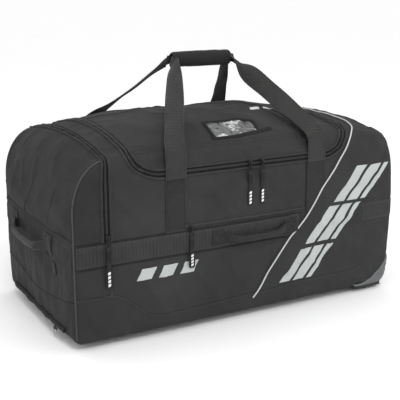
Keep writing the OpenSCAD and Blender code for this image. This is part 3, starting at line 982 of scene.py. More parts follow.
def ink_mat(name, col, rough=0.55):
    m = Nodes(name)
    col = np.array(col, float)
    w = m.weave(0.0012)
    c = m.mix(m.remap(m.noise(22.0, 4), 0.3, 0.7, 0, 1), tuple(col * 0.93), tuple(np.minimum(col * 1.05, 1)))
    # print darkened in the weave's low points: painted shade in the thread hollows
    c = m.mix(m.remap(w, -1, 1, 0.16, 0.0), c, tuple(col * 0.6))
    crack = m.remap(m.noise(260.0, 5, 0.7), 0.66, 0.74, 0.0, 0.45)
    c = m.mix(crack, c, tuple(col * 0.45))
    m.bump(m.math("ADD", w, m.noise(400.0, 2)), 0.3, 0.0003)
    return m.finish(c, m.remap(m.noise(60.0, 3), 0.3, 0.7, rough - 0.08, rough + 0.08), Specular_IOR_Level=0.4)


def vinyl_mat(name):
    """Clear film over a dark card: crumpled, with pale streaks painted into the colour as highlights of the crinkles.
    """
    m = Nodes(name)
    c = m.mix(m.remap(m.noise(30.0, 3), 0.35, 0.65, 0, 1), (0.014, 0.015, 0.016), (0.045, 0.047, 0.049))
    n = m.noise(26.0, 5, 0.6, co=m.scaled(1.6, 1.0, 1.0))
    ridge = m.math("SUBTRACT", 1.0, m.math("ABSOLUTE", m.math("MULTIPLY", m.math("SUBTRACT", n, 0.5), 9.0)))
    painted_glint_lines = m.remap(ridge, 0.45, 0.95, 0.0, 1.0)
    painted_glint_spots = m.remap(m.noise(30.0, 2), 0.55, 0.62, 0.0, 1.0)
    # pale streaks mixed into the colour along the crinkle lines: painted highlights, not a colour of the film
    c = m.mix(m.math("MULTIPLY", painted_glint_lines, painted_glint_spots), c, (0.72, 0.73, 0.74))
    m.bump(m.noise(65.0, 5, 0.65), 0.8, 0.0016)
    return m.finish(c, m.remap(m.noise(90.0, 2), 0.3, 0.7, 0.07, 0.2), Coat_Weight=0.9, Coat_Roughness=0.05, Specular_IOR_Level=0.7)


FABRIC = cloth_mat("fabric_charcoal", (0.0312, 0.0314, 0.0321), coarse=0.5)
# a darker copy of the charcoal fabric for the left end flap, band and seams: painted shade on the left end
FABRIC_END_SHADED = cloth_mat("fabric_end", (0.0272, 0.0274, 0.0280), coarse=0.5)
LINING = cloth_mat("lining", (0.11, 0.112, 0.115), pitch=0.0009, rough=0.7, sheen=0.1)
WEB = cloth_mat("webbing", (0.0200, 0.0198, 0.0192), pitch=0.0034, bump=1.0, rough=0.62, sheen=0.03, dist=0.0010, spec=0.24, deep=0.75)
WEB_FRONT = cloth_mat("webbing_loop_front", (0.0205, 0.0202, 0.0196), pitch=0.0054, bump=1.0, rough=0.55, sheen=0.05, dist=0.0012, spec=0.30, deep=0.85)
# the back carry loop takes a much darker copy of the loop webbing: painted shade on the back loop
WEB_BACK_SHADED = cloth_mat("webbing_loop_back", (0.0110, 0.0109, 0.0106), pitch=0.0054, bump=1.0, rough=0.66, sheen=0.01, dist=0.0010, spec=0.16, deep=0.85)
WEB_BAND = cloth_mat("webbing_band", (0.026, 0.026, 0.0265), pitch=0.0020, bump=0.6, rough=0.66, dist=0.0006, spec=0.22)
PAD = cloth_mat("grip_fabric", (0.020, 0.020, 0.021), pitch=0.0016, bump=0.7, rough=0.86, sheen=0.05, dist=0.0006, coarse=0.8)
TAPE = cloth_mat("zip_tape", (0.0065, 0.0065, 0.007), pitch=0.0011, rough=0.8, sheen=0.02)
THREAD = cloth_mat("thread", (0.024, 0.024, 0.025), pitch=0.0006, rough=0.6, sheen=0.02)
BIND = cloth_mat("binding_tape", (0.013, 0.013, 0.0135), pitch=0.0018, bump=0.7, rough=0.7, dist=0.0006)
COIL = plastic_mat("zip_coil", (0.010, 0.010, 0.0105), 0.36, 400.0, 0.15, spec=0.3)
PIPE = plastic_mat("piping_black", (0.015, 0.015, 0.016), 0.45, 500.0, 0.2)
SILVER = cloth_mat("piping_silver", (0.50, 0.51, 0.50), pitch=0.0010, rough=0.5, sheen=0.1, var=0.06, wear=0.1)
SILVER_DARK = cloth_mat("piping_grey", (0.16, 0.16, 0.16), pitch=0.0010, rough=0.5, var=0.06, wear=0.1)
INK = ink_mat("print_grey", (0.41, 0.435, 0.425))
INK_W = ink_mat("print_white", (0.72, 0.72, 0.72))
RAIL = plastic_mat("rail_plastic", (0.016, 0.016, 0.017), 0.5, spec=0.25)
GUARD = plastic_mat("guard_plastic", (0.105, 0.107, 0.110), 0.5, 450.0, 0.25, spec=0.25)
HUB = plastic_mat("hub_plastic", (0.17, 0.172, 0.178), 0.4)
RUBBER = plastic_mat("wheel_rubber", (0.02, 0.02, 0.02), 0.75, 300.0, 0.4)
PULL = plastic_mat("pull_rubber", (0.006, 0.006, 0.0065), 0.52, 700.0, 0.2, spec=0.18)
METAL = metal_mat("slider_metal", (0.030, 0.030, 0.032), 0.34)
STEEL = metal_mat("axle_steel", (0.55, 0.55, 0.56), 0.3)
VINYL = vinyl_mat("clear_vinyl")
BOARD = plastic_mat("board", (0.05, 0.05, 0.052), 0.7, 200.0, 0.3)


# ------------------------------------------------------------------ cutting the skin into shell, lid and flap
ROLL_T0, ROLL_T1 = LIPZ - Z1, 2 * W - 0.006


def lid_field(P):
    """Above 0 inside the lid's outline, on the front and the top."""
    x = P[:, 0]
    side = P[:, 1] <= -W + 1e-7
    top = P[:, 2] >= Z1 - 1e-7
    t = np.where(top, P[:, 1] + W, P[:, 2] - Z1)
    f = np.minimum.reduce([x - LIDX0, LIDX1 - x, t - ROLL_T0, ROLL_T1 - t])
    for cx, a, s in ((LIDX1 - 0.077, 0.077, 1), (LIDX0 + 0.075, 0.075, -1)):
        b = 0.100 if s > 0 else 0.064
        ct = ROLL_T0 + b
        px, pt = s * (x - cx) / a, (ct - t) / b
        m = (px > 0) & (pt > 0)
        f = np.where(m, (1 - np.sqrt(px ** 2 + pt ** 2)) * min(a, b), f)
    return np.where(side | top, f, -0.05)


def lid_outline(step=0.004):
    """The lid's edge in the roll chart, from the back left, round the front, to the back right."""
    P = [(LIDX0, ROLL_T1), (LIDX0, ROLL_T0 + 0.064)]
    for a in np.linspace(180, 270, 14)[1:]:
        P.append((LIDX0 + 0.075 + 0.075 * math.cos(math.radians(a)), ROLL_T0 + 0.064 + 0.064 * math.sin(math.radians(a))))
    for a in np.linspace(270, 360, 20):
        P.append((LIDX1 - 0.077 + 0.077 * math.cos(math.radians(a)), ROLL_T0 + 0.100 + 0.100 * math.sin(math.radians(a))))
    P.append((LIDX1, ROLL_T1))
    return resample(P, step)


def flap_field(P):
    return np.minimum(ENDX - P[:, 0], P[:, 2] - FLAPZ)


def cut_bmesh(bm, value):
    lay = bm.verts.layers.float[value]
    for v in bm.verts:
        if abs(v[lay]) < 2e-4:
            v[lay] = 0.0
    for e in [e for e in bm.edges if e.verts[0][lay] * e.verts[1][lay] < 0]:
        a, b = e.verts
        t = a[lay] / (a[lay] - b[lay])
        _, nv = bmesh.utils.edge_split(e, a, t)
        nv[lay] = 0.0
    for f in list(bm.faces):
        vs = list(f.verts)
        signs = {1 if v[lay] > 0 else -1 for v in vs if v[lay] != 0.0}
        if len(signs) < 2:
            continue
        z = [v for v in vs if v[lay] == 0.0]
        if len(z) == 2:
            try:
                bmesh.utils.face_split(f, z[0], z[1])
            except ValueError:
                pass


def skin_pieces():
    o = new_mesh("skin_all", SV, SF)
    bm = bmesh.new()
    bm.from_mesh(o.data)
    bm.verts.ensure_lookup_table()
    ll = bm.verts.layers.float.new("lid")
    lf = bm.verts.layers.float.new("flap")
    a, b = lid_field(SP), flap_field(SP)
    for v in bm.verts:
        v[ll], v[lf] = float(a[v.index]), float(b[v.index])
    cut_bmesh(bm, "lid")
    cut_bmesh(bm, "flap")
    bpy.data.objects.remove(o)
    ll, lf = bm.verts.layers.float["lid"], bm.verts.layers.float["flap"]
    groups = {"shell_skin": [], "lid_skin": [], "flap_skin": []}
    for f in bm.faces:
        c = f.calc_center_median()
        ml = max((v[ll] for v in f.verts), key=abs)
        mf = max((v[lf] for v in f.verts), key=abs)
        if c.z < 0.03 and c.x > 0.331 and abs(c.y) > 0.179:
            continue                      # open under the wheels
        if c.x > 0.418 and c.z < 0.056 and abs(c.y) > 0.181:
            continue
        g = "lid_skin" if ml > 0 else "flap_skin" if mf > 0 else "shell_skin"
        groups[g].append(([v.co.copy() for v in f.verts], [v.index for v in f.verts]))
    out = {}
    bm.verts.index_update()
    for g, fs in groups.items():
        me = bpy.data.meshes.new(g)
        idx, V, F = {}, [], []
        for cos, _ in fs:
            face = []
            for c in cos:
                k = (round(c.x, 7), round(c.y, 7), round(c.z, 7))
                if k not in idx:
                    idx[k] = len(V)
                    V.append(tuple(c))
                face.append(idx[k])
            if len(set(face)) == len(face):
                F.append(face)
        me.from_pydata(V, [], F)
        me.update()
        ob = bpy.data.objects.new(g, me)
        bpy.context.scene.collection.objects.link(ob)
        md = ob.modifiers.new("thickness", "SOLIDIFY")
        md.thickness = 0.0026
        md.offset = -1
        md.use_even_offset = False
        md.material_offset = 1
        md.material_offset_rim = 0
        out[g] = ob
    bm.free()
    return out


skins = skin_pieces()
keep(skins["shell_skin"], "shell", [FABRIC, LINING], ("base_panel", "front_panel", "back_panel", "right_end_panel", "right_shoulder_panel", "right_top_panel", "left_bridge_panel", "end_lower_panel"), "shell_fabric")
keep(skins["lid_skin"], "lid", [FABRIC, LINING], ("lid_panel", "lid_front_lip"), "shell_fabric")
keep(skins["flap_skin"], "end_flap", [FABRIC_END_SHADED, LINING], ("flap_end_panel", "flap_top_panel", "flap_front_gusset", "flap_back_gusset"), "end_fabric")


# ------------------------------------------------------------------ the inner divider, a hanging sheet of lining
def divider():
    lo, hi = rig.box("divider_panel")
    ys = np.linspace(lo[1] + 0.002, hi[1] - 0.002, 72)
    zs = np.linspace(0, 1, 62)
    Y, Zf = np.meshgrid(ys, zs, indexing="ij")
    top = 0.409 + crown_at(np.array([ENDX]))[0] * (1 - (Y / W) ** 2) - 0.004
    Zz = lo[2] + (top - lo[2]) * Zf
    sag = np.sin(math.pi * (Y - lo[1]) / (hi[1] - lo[1])) * np.sin(math.pi * Zf)
    q = np.stack([Y.ravel(), Zz.ravel(), 0 * Y.ravel()], 1)
    n = (noise3(q, 0.08, 21) * 0.0014 + noise3(q * [1, 0.4, 1], 0.03, 22) * 0.0006).reshape(Y.shape) * sag ** 0.5
    mid = (lo[0] + hi[0]) / 2
    T = np.stack([mid + 0.0012 + sag * 0.003 + n, Y, Zz], -1)
    B = np.stack([mid - 0.0012 + sag * 0.003 + n, Y, Zz], -1)
    keep(slab("divider_sheet", T, B), "shell", LINING, ("divider_panel",), "shell_fabric")


divider()


# ------------------------------------------------------------------ ribbed band round the bag
def band_relief(s, u):
    p = (s / 0.0082) % 1.0
    rib = np.clip(np.sin(np.pi * p) * 1.7, 0, 1) ** 1.5
    return 0.0012 * rib * (1 - np.abs(u) ** 10)


bz = (BZ0 + BZ1) / 2
bw = BZ1 - BZ0
ribbon("band_web_front", [(0.140 - X0, bz), (0.006, bz)], bw, wrap, WEB_BAND, "shell", h=0.0010, across=8, step=0.0016, relief=band_relief, replaces=("front_band",), slot="webbing")
ribbon("band_web_back", [(-2 * W - 0.006, bz), (-2 * W - LX + 0.03, bz)], bw, wrap, WEB_BAND, "shell", h=0.0010, across=8, step=0.0016, relief=band_relief, replaces=("back_band",), slot="webbing")
ribbon("end_band_panel", [(-0.010, bz - 0.004), (-2 * W + 0.010, bz - 0.004)], bw + 0.002, wrap, FABRIC_END_SHADED, "shell", h=0.0012, across=10, step=0.004, replaces=("end_band",), slot="end_fabric",
       relief=lambda s, u: 0.0005 * np.sin(s * 60 + 2 * u) * (1 - u * u))
stitch("stitch_shell", [(-0.012, bz - 0.028), (-2 * W + 0.012, bz - 0.028)], wrap, 0.0014)
ribbon("band_web_right", [(0.336 - X0, bz + 0.002), (LX + 2 * W + 0.045, bz)], bw - 0.008, wrap, WEB_BAND, "shell", h=0.0006, across=8, step=0.0018, relief=lambda s, u: 0.5 * band_relief(s, u), slot="webbing")
for k, z in enumerate((BZ0 - 0.001, BZ1 + 0.0005)):
    for tag, a, b in (("front", 0.118 - X0, 0.006), ("back", -2 * W - 0.006, -2 * W - LX + 0.03)):
        ribbon(f"band_edge_{tag}_{k}", [(a, z), (b, z)], 0.005, wrap, BIND, "shell", h=0.0021, across=4, step=0.005, slot="binding")
        stitch("stitch_shell", [(a - 0.003, z - 0.0006 + 0.0012 * k), (b + 0.003 * (1 if a > b else 1), z - 0.0006 + 0.0012 * k)], wrap, 0.0021)


# ------------------------------------------------------------------ zips
def teeth(s, u):
    p = (s / 0.0030) % 1.0
    return 0.0007 * np.clip(np.sin(2 * np.pi * p), -0.6, 1) * (1 - u * u)


def zip_run(tag, path, chart, body, lid_body=None, replaces_a=(), replaces_b=(), tape=0.010, welt=True):
    """Tape and half the coil on each side of a closed zip; each side rides on its own body."""
    for side, bd, rep in ((-1, body, replaces_a), (1, lid_body or body, replaces_b)):
        n = "out" if side < 0 else "in"
        t = ribbon(f"{tag}_tape_{n}", path, tape, chart, TAPE, bd, h=0.0008, across=4, step=0.004, shift=side * (tape / 2 + 0.0004), replaces=rep, slot="zip_coil")
        ribbon(f"{tag}_coil_{n}", path, 0.0026, chart, COIL, bd, h=0.0016, bottom=0.0004, across=4, step=0.00085, shift=side * 0.00135, relief=teeth, slot="zip_coil")
        if welt:
            ribbon(f"{tag}_welt_{n}", path, 0.0058, chart, FABRIC, bd, h=0.0024, across=4, step=0.006, shift=side * (tape + 0.0002), slot="shell_fabric",
                   relief=lambda s, u: 0.0006 * (1 - u * u) + 0.00025 * np.sin(s * 130))
            stitch(f"stitch_{bd}", offset2d(resample(path, 0.002), side * (tape + 0.0014)), chart, 0.0028)


zip_run("lid_zip", lid_outline(0.002), roll, "shell", "lid", ("main_zip_track",), ("lid_zip_track",))
end_path = resample([(ENDX, FLAPZ - Z1), (ENDX, 2 * W + (Z1 - FLAPZ))], 0.002)
zip_run("end_zip", end_path, roll, "shell", "end_flap", ("end_zip_track",), ())
zip_run("pocket_zip", [(-0.162, BZ1 + 0.005), (0.150, BZ1 + 0.005)], front, "shell", None, ("pocket_zip",), (), tape=0.0042, welt=False)
zip_run("base_zip", [(-0.155, Z0 + 0.0095), (0.155, Z0 + 0.0095)], left, "shell", None, ("base_pocket_zip",), (), tape=0.0042, welt=False)
ribbon("pocket_hood", [(-0.166, BZ1 + 0.0115), (0.156, BZ1 + 0.0115)], 0.0070, front, FABRIC, "shell", h=0.0026, across=5, slot="shell_fabric", relief=lambda s, u: 0.0008 * (1 - u * u))
stitch("stitch_shell", [(-0.165, BZ1 + 0.0142), (0.155, BZ1 + 0.0142)], front, 0.0018)


# ------------------------------------------------------------------ piping
def piping(name, path, chart, mat, body, r=0.0019, lift=0.0010, step=0.004, replaces=(), slot=None, wrapped=0.0, smooth=3):
    Q = resample(path, step)
    C, n = on(chart(Q), lift)
    for _ in range(smooth):
        C[1:-1] = C[1:-1] * 0.5 + (C[2:] + C[:-2]) * 0.25
    if smooth > 3:
        for _ in range(3):
            C = snap(C, lift)
            for _ in range(smooth):
                C[1:-1] = C[1:-1] * 0.5 + (C[2:] + C[:-2]) * 0.25
    t = unit(np.gradient(C, axis=0))
    U = unit(np.cross(n, t))
    V = np.cross(t, U)
    a = np.linspace(0, 2 * math.pi, 9)[:-1]
    ring = np.stack([np.cos(a), np.sin(a)], 1) * r
    return keep(sweep(name, C, U, V, lambda i: ring * (1 + wrapped * math.sin(i * 2.4))), body, mat, replaces, slot)


SILV = spline([(0.014, 0.052), (0.050, 0.098), (0.088, 0.153), (0.130, 0.198), (0.176, 0.243), (0.212, 0.298), (0.252, 0.352), (0.282, 0.386), (0.301, 0.421)], 0.004)
SILV[:, 1] -= Z1
SILV = np.vstack([SILV, spline([(0.301, 0.0), (0.3265, 0.033), (0.336, 0.064), (0.338, 0.095), (0.335, 0.150), (0.332, 0.25), (0.330, 0.36), (0.320, 0.43), (0.301, 2 * W)], 0.004)[1:]])
piping("silver_piping_line", SILV, roll, SILVER, "shell", r=0.0019, lift=0.0034, smooth=14, replaces=("silver_piping",), slot="piping")
back_s = np.stack([SILV[SILV[:, 1] < 0][:, 0], 2 * W - SILV[SILV[:, 1] < 0][:, 1]], 1)
piping("silver_piping_back", back_s, roll, SILVER, "shell", r=0.0016, lift=0.0012, slot="piping")
stitch("stitch_shell", offset2d(SILV, 0.006), roll, 0.0002)
H = Z1 - Z0
up_z = FLAPZ - Z0


def edge_back(q):
    p = edge_front(q)
    p[:, 1] = W
    return p


for k, ch in (("front", edge_front), ("back", edge_back)):
    piping(f"end_piping_low_{k}", [(0.012, 0), (up_z - 0.0008, 0)], ch, PIPE, "shell", slot="binding")
    piping(f"end_piping_up_{k}", [(up_z + 0.0008, 0), (H + (ENDX - X0) - 0.012, 0)], ch, PIPE, "end_flap", slot="binding")
ribbon("base_pocket_lip", [(-0.176, Z0 + 0.0215), (-0.02, Z0 + 0.0200), (0.176, Z0 + 0.0215)], 0.0110, left, BIND, "shell", h=0.0052, across=6, slot="binding", relief=lambda s, u: 0.0014 * (1 - u * u))
stitch("stitch_shell", [(-0.170, Z0 + 0.0285), (0.170, Z0 + 0.0285)], left, 0.0010)
piping("base_pocket_piping", [(-0.172, Z0 + 0.0152), (-0.02, Z0 + 0.0142), (0.172, Z0 + 0.0152)], left, SILVER_DARK, "shell", r=0.0011, lift=0.0050, slot="binding")
# flap seam, and the sewn lines of the left end
ribbon("flap_seam", [(-W + 0.01, FLAPZ + 0.004), (W - 0.01, FLAPZ + 0.004)], 0.006, left, FABRIC_END_SHADED, "end_flap", h=0.0018, slot="end_fabric")
stitch("stitch_end_flap", [(-W + 0.01, FLAPZ + 0.0095), (W - 0.01, FLAPZ + 0.0095)], left, 0.0003)

# ------------------------------------------------------------------ long seams on the panels
def seam(name, path, chart, body, mat=FABRIC, w=0.0050, h=0.0013, slot="shell_fabric"):
    P = spline(path, 0.004)
    ribbon(name, P, w, chart, mat, body, h=h, slot=slot, relief=lambda s, u: 0.0003 * np.sin(s * 190) * (1 - u * u))
    stitch(f"stitch_{body}", offset2d(spline(path, 0.002), w / 2 + 0.0012), chart, 0.0002)


low = [(-0.425, 0.119), (-0.371, 0.120), (-0.344, 0.120), (-0.311, 0.104), (-0.277, 0.076), (-0.253, 0.058), (-0.215, 0.052), (-0.125, 0.054), (0.005, 0.059), (0.177, 0.066), (0.300, 0.066), (0.34, 0.072)]
seam("lower_seam_front", low, front, "shell")
seam("lower_seam_back", low, back, "shell")
for k, ch in (("front", front), ("back", back)):
    seam(f"end_column_seam_{k}", [(-0.346, FLAPZ - 0.055), (-0.346, 0.16), (-0.346, 0.122)], ch, "shell")
seam("left_end_seam", [(-0.232, 0.112), (-0.182, 0.104), (-0.077, 0.087), (0.0, 0.084), (0.077, 0.087), (0.172, 0.106), (0.232, 0.112)], left, "shell", FABRIC_END_SHADED, slot="end_fabric")
seam("end_seam_a", [(0.012, 0.372), (0.022, 0.340), (0.040, 0.285), (0.059, FLAPZ + 0.012)], left, "end_flap", FABRIC_END_SHADED, w=0.0042, slot="end_fabric")
seam("end_seam_b", [(-0.114, 0.352), (-0.108, 0.320), (-0.099, 0.280), (-0.095, FLAPZ + 0.012)], left, "end_flap", FABRIC_END_SHADED, w=0.0042, slot="end_fabric")
seam("lid_crease_seam", [(-0.286, 0.285), (-0.235, 0.276), (-0.177, 0.254), (-0.12, 0.272), (-0.075, 0.292), (-0.02, 0.292), (0.035, 0.284), (0.085, 0.250), (0.118, 0.218), (0.148, 0.180), (0.166, 0.126), (0.170, 0.080), (0.160, 0.030), (0.150, -0.010)], roll, "lid", w=0.0045, h=0.0018)
seam("lid_front_seam", [(-0.27, 0.017), (-0.15, 0.0165), (0.0, 0.016), (0.15, 0.0165), (0.235, 0.020)], roll, "lid", w=0.004, h=0.0009)
seam("shoulder_seam_right", [(X1 - RA * .9, 0.02), (X1 - RA * .9, 2 * W - 0.02)], roll, "shell", w=0.004)


# ------------------------------------------------------------------ printed bars (plain slanted bars, no lettering)
for k, (x0, w_) in enumerate(((0.090, 0.030), (0.130, 0.030), (0.170, 0.015))):
    for i, (za, zb) in enumerate(((0.074, 0.150), (0.160, 0.246), (0.256, 0.338))):
        xa, xb = x0 + 0.854 * (za - 0.075), x0 + 0.854 * (zb - 0.075)
        polygon_patch(f"print_bar_{k + 1}{i + 1}", [(xa, za), (xa + w_, za), (xb + w_, zb), (xb, zb)], front, INK, "shell", h=0.0011, cell=0.0035)
for k in range(3):
    x = -0.286 + k * 0.053
    polygon_patch(f"print_mark_{k + 1}", [(x, 0.144), (x + 0.035, 0.144), (x + 0.049, 0.169), (x + 0.014, 0.169)], front, INK, "shell", h=0.0011, cell=0.0035)
for k in range(2):
    x = 0.098 + k * 0.038
    polygon_patch(f"print_lid_{k + 1}", [(x, 0.146), (x + 0.026, 0.146), (x + 0.036, 0.166), (x + 0.010, 0.166)], roll, INK_W, "lid", h=0.0005, cell=0.005)


# ------------------------------------------------------------------ card window on the lid
WIN = np.array([(-0.062, 0.036), (-0.056, 0.106), (0.036, 0.108), (0.064, 0.084), (0.057, 0.041)])
card = WIN * 0.86 + WIN.mean(0) * 0.14
polygon_patch("card_sheet", card, roll, INK, "lid", h=0.0006, slot=None)
win = polygon_patch("card_window", WIN, roll, VINYL, "lid", h=0.0012, bottom=0.0002, cell=0.003, slot="clear_vinyl",
                    relief=lambda Q: (noise3(np.stack([Q[:, 0], Q[:, 1], 0 * Q[:, 0]], 1), 0.016, 31) * 0.0011 + np.abs(noise3(np.stack([Q[:, 0], Q[:, 1] * 0.5, 0 * Q[:, 0]], 1), 0.009, 33)) * 0.0010))
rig.replaces(win, "id_window")
ring = resample(np.vstack([WIN, WIN[:1]]), 0.003)
bnd = ribbon("window_binding", ring, 0.0085, roll, BIND, "lid", h=0.0030, across=5, step=0.003, slot="binding", relief=lambda s, u: 0.0006 * (1 - u * u))
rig.replaces(bnd, "id_window_binding")
ribbon("window_binding_front", [(-0.070, 0.037), (0.092, 0.046)], 0.0095, roll, BIND, "lid", h=0.0032, across=5, slot="binding")
stitch("stitch_lid", offset2d(ring, 0.0022), roll, 0.0034)


# ------------------------------------------------------------------ webbing: sewn straps and carry loops
def web_relief(s, u):
    return 0.00025 * np.cos(u * 26) + 0.0006 * np.exp(-((np.abs(u) - 0.97) / 0.05) ** 2)


def sewn(name, x, chart, node, cut=False):
    if cut:
        poly = [(x - 0.0248, BZ1 + 0.002), (x - 0.0150, BZ1 + 0.002), (x + 0.0248, BZ1 + 0.058), (x + 0.0248, LIPZ - 0.013), (x - 0.0248, LIPZ - 0.013)]
        o = polygon_patch(name, poly, chart, WEB, "shell", h=0.0030, cell=0.0022, slot="webbing", relief=lambda Q: web_relief(0, (Q[:, 0] - x) / 0.0248))
        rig.replaces(o, node)
        stitch("stitch_shell", [(x - 0.0215, BZ1 + 0.004), (x - 0.0215, LIPZ - 0.016)], chart, 0.0031)
        stitch("stitch_shell", [(x - 0.0130, BZ1 + 0.006), (x + 0.0215, BZ1 + 0.056), (x + 0.0215, LIPZ - 0.016)], chart, 0.0031)
        return
    path = [(x, BZ1 + 0.002), (x, LIPZ - 0.013)]
    ribbon(name, path, 0.0495, chart, WEB, "shell", h=0.0030, across=26, step=0.004, relief=web_relief, replaces=(node,), slot="webbing")
    for dx in (-0.0215, 0.0215):
        stitch("stitch_shell", [(x + dx, BZ1 + 0.004), (x + dx, LIPZ - 0.016)], chart, 0.0031)
    for z in (LIPZ - 0.020, LIPZ - 0.045):
        stitch("stitch_shell", [(x - 0.021, z), (x + 0.021, z)], chart, 0.0031)
    stitch("stitch_shell", [(x - 0.021, LIPZ - 0.020), (x + 0.021, LIPZ - 0.045)], chart, 0.0031)
    stitch("stitch_shell", [(x + 0.021, LIPZ - 0.020), (x - 0.021, LIPZ - 0.045)], chart, 0.0031)


for nm, x, ch in (("front_strap_left", -STRAPX, front), ("front_strap_right", STRAPX, front), ("back_strap_left", -STRAPX, back), ("back_strap_right", STRAPX, back)):
    sewn(nm + "_web", x, ch, nm, cut=nm == "front_strap_right")

g_lo, g_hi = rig.box("grip_pad")
GX0, GX1, GZ = g_lo[0], g_hi[0], (g_lo[2] + g_hi[2]) / 2
RIM = 0.421


def catmull(K, n=14):
    K = np.asarray(K, float)
    Q = np.concatenate([[2 * K[0] - K[1]], K, [2 * K[-1] - K[-2]]])
    out = []
    for i in range(1, len(Q) - 2):
        for t in np.linspace(0, 1, n, endpoint=False):
            a, b, c, d = Q[i - 1], Q[i], Q[i + 1], Q[i + 2]
            out.append(0.5 * (2 * b + (c - a) * t + (2 * a - 5 * b + 4 * c - d) * t ** 2 + (3 * b - a - 3 * c + d) * t ** 3))
    out.append(K[-1])
    return np.array(out)


def leg_keys(s, x, g):
    """Centre, half-width vector and cup of one leg of a carry loop, from its sewn end to the grip."""
    k = s * (W + 0.0065)
    q = 1 if x > g else -1
    sag = 1 if s > 0 else 0
    E = np.array([x * 0.985, s * (W - 0.006), RIM + 0.017])
    G = np.array([g, s * 0.017, GZ - 0.004])

    def on_line(t, lift=0.0):
        return list(E * (1 - t) + G * t + np.array([0, 0, lift]))
    return [
        ([x, k, LIPZ - 0.013], [0.0248, 0, 0], 0.0),
        ([x, k, LIPZ + 0.018], [0.0248, 0, 0], 0.0),
        ([x * 0.998, s * (W + 0.0035), RIM + 0.001], [0.0248, 0, 0.0006], 0.0),
        (on_line(0.06), [0.0246, 0, 0.003], 0.001),
        (on_line(0.28, 0.001 - sag * 0.004), [0.0226, s * 0.003, 0.0085], 0.002),
        (on_line(0.54, 0.001 - sag * 0.007), [0.0212, s * 0.005, 0.0105], 0.003),
        (on_line(0.80, -sag * 0.004), [0.0170, s * 0.005, 0.0095 if q < 0 else 0.0125], 0.005),
        (on_line(0.97), [0.0085, s * 0.004, -q * 0.0125], 0.004),
    ]


def carry(name, s, body, nodes):
    A = leg_keys(s, -STRAPX, GX0)
    B = leg_keys(s, STRAPX, GX1)
    mid = [([GX0 + 0.010, s * 0.0075, GZ], [0.0010, 0, 0.0095], 0.0015), ([GX1 - 0.010, s * 0.0075, GZ], [-0.0010, 0, 0.0095], 0.0015)]
    keys = [(c, w, b) for c, w, b in A] + mid + [(c, [-v for v in w], b) for c, w, b in reversed(B)]
    C = catmull([k[0] for k in keys])
    Wd = catmull([k[1] for k in keys])
    Cu = catmull([[k[2], 0, 0] for k in keys])[:, 0]
    t = unit(np.gradient(C, axis=0))
    Wd = Wd - t * (Wd * t).sum(1, keepdims=True)
    n = unit(np.cross(Wd, t))
    u = np.linspace(-1, 1, 27)
    n = n * np.sign((n[:, 1] * s + n[:, 2]).sum())
    cup = Cu[:, None] * (1 - u[None] ** 2)
    wave = 0.0006 * np.sin(np.arange(len(C)) * 0.35)[:, None] * np.sin(u * 2)[None]
    mid_s = C[:, None] + Wd[:, None] * u[None, :, None] + n[:, None] * (cup + wave)[..., None]
    th = 0.00125 + 0.00012 * np.cos(u * 26) + 0.0003 * np.exp(-((np.abs(u) - 0.97) / 0.05) ** 2)
    T = mid_s + n[:, None] * th[None, :, None]
    Bm = mid_s - n[:, None] * th[None, :, None]
    # the back loop (s > 0) takes the darker webbing copy: painted shade
    keep(sharp(slab(name, T, Bm)), body, WEB_FRONT if s < 0 else WEB_BACK_SHADED, nodes, "webbing")
    for uu in (-0.86, 0.86):
        Cs = resample(C + Wd * uu + n * 0.00135, 0.0021)
        Ns = unit(np.stack([np.interp(np.linspace(0, 1, len(Cs)), np.linspace(0, 1, len(n)), n[:, k]) for k in range(3)], 1))
        add_dashes(f"stitch_{body}", Cs, Ns)


carry("front_loop_web", -1, "front_loop", ("front_carry_loop",))
carry("back_loop_web", 1, "back_loop", ("back_carry_loop",))


# ------------------------------------------------------------------ the padded grip wrap, two halves
def grip_half(name, s, body, node):
    n, m = 54, 22
    xs = np.linspace(GX0, GX1, n)
    a0 = np.linspace(-88, 88, m)
    outer, inner = [], []
    for i, x in enumerate(xs):
        f = (x - GX0) / (GX1 - GX0)
        end = min(1.0, (min(f, 1 - f) * (GX1 - GX0)) / 0.008)
        puff = math.sqrt(max(0.0, 1 - (1 - end) ** 2))
        ro = 0.0148 + 0.0040 * puff
        for a in a0:
            r = math.radians(a)
            edge = 0.0012 * (abs(a) / 88) ** 6
            nz = noise3(np.array([[x, r * 0.018, s]]), 0.022, 41)[0] * 0.0009 * puff
            quilt = -0.0011 * math.exp(-((abs(x - (GX0 + GX1) / 2) - 0.058) / 0.0022) ** 2)
            R = ro - edge + nz + quilt
            outer.append([x, s * R * math.cos(r), GZ + R * 1.02 * math.sin(r)])
            inner.append([x, s * 0.0131 * math.cos(r), GZ + 0.0131 * math.sin(r)])
    T = np.array(outer).reshape(n, m, 3)
    B = np.array(inner).reshape(n, m, 3)
    o = keep(slab(name, T, B), body, PAD, (node,), "grip_fabric")
    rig.padded(o, fill=0.7)
    for a in (-70, 70):
        C = np.array([[x, s * 0.0190 * math.cos(math.radians(a)), GZ + 0.0193 * math.sin(math.radians(a))] for x in np.arange(GX0 + 0.007, GX1 - 0.007, 0.0021)])
        N_ = np.tile([0, s * math.cos(math.radians(a)), math.sin(math.radians(a))], (len(C), 1))
        add_dashes(f"stitch_{body}", C, N_)


grip_half("grip_wrap_front", -1, "front_loop", "grip_pad")
grip_half("grip_wrap_back", 1, "grip_flap", "grip_flap")


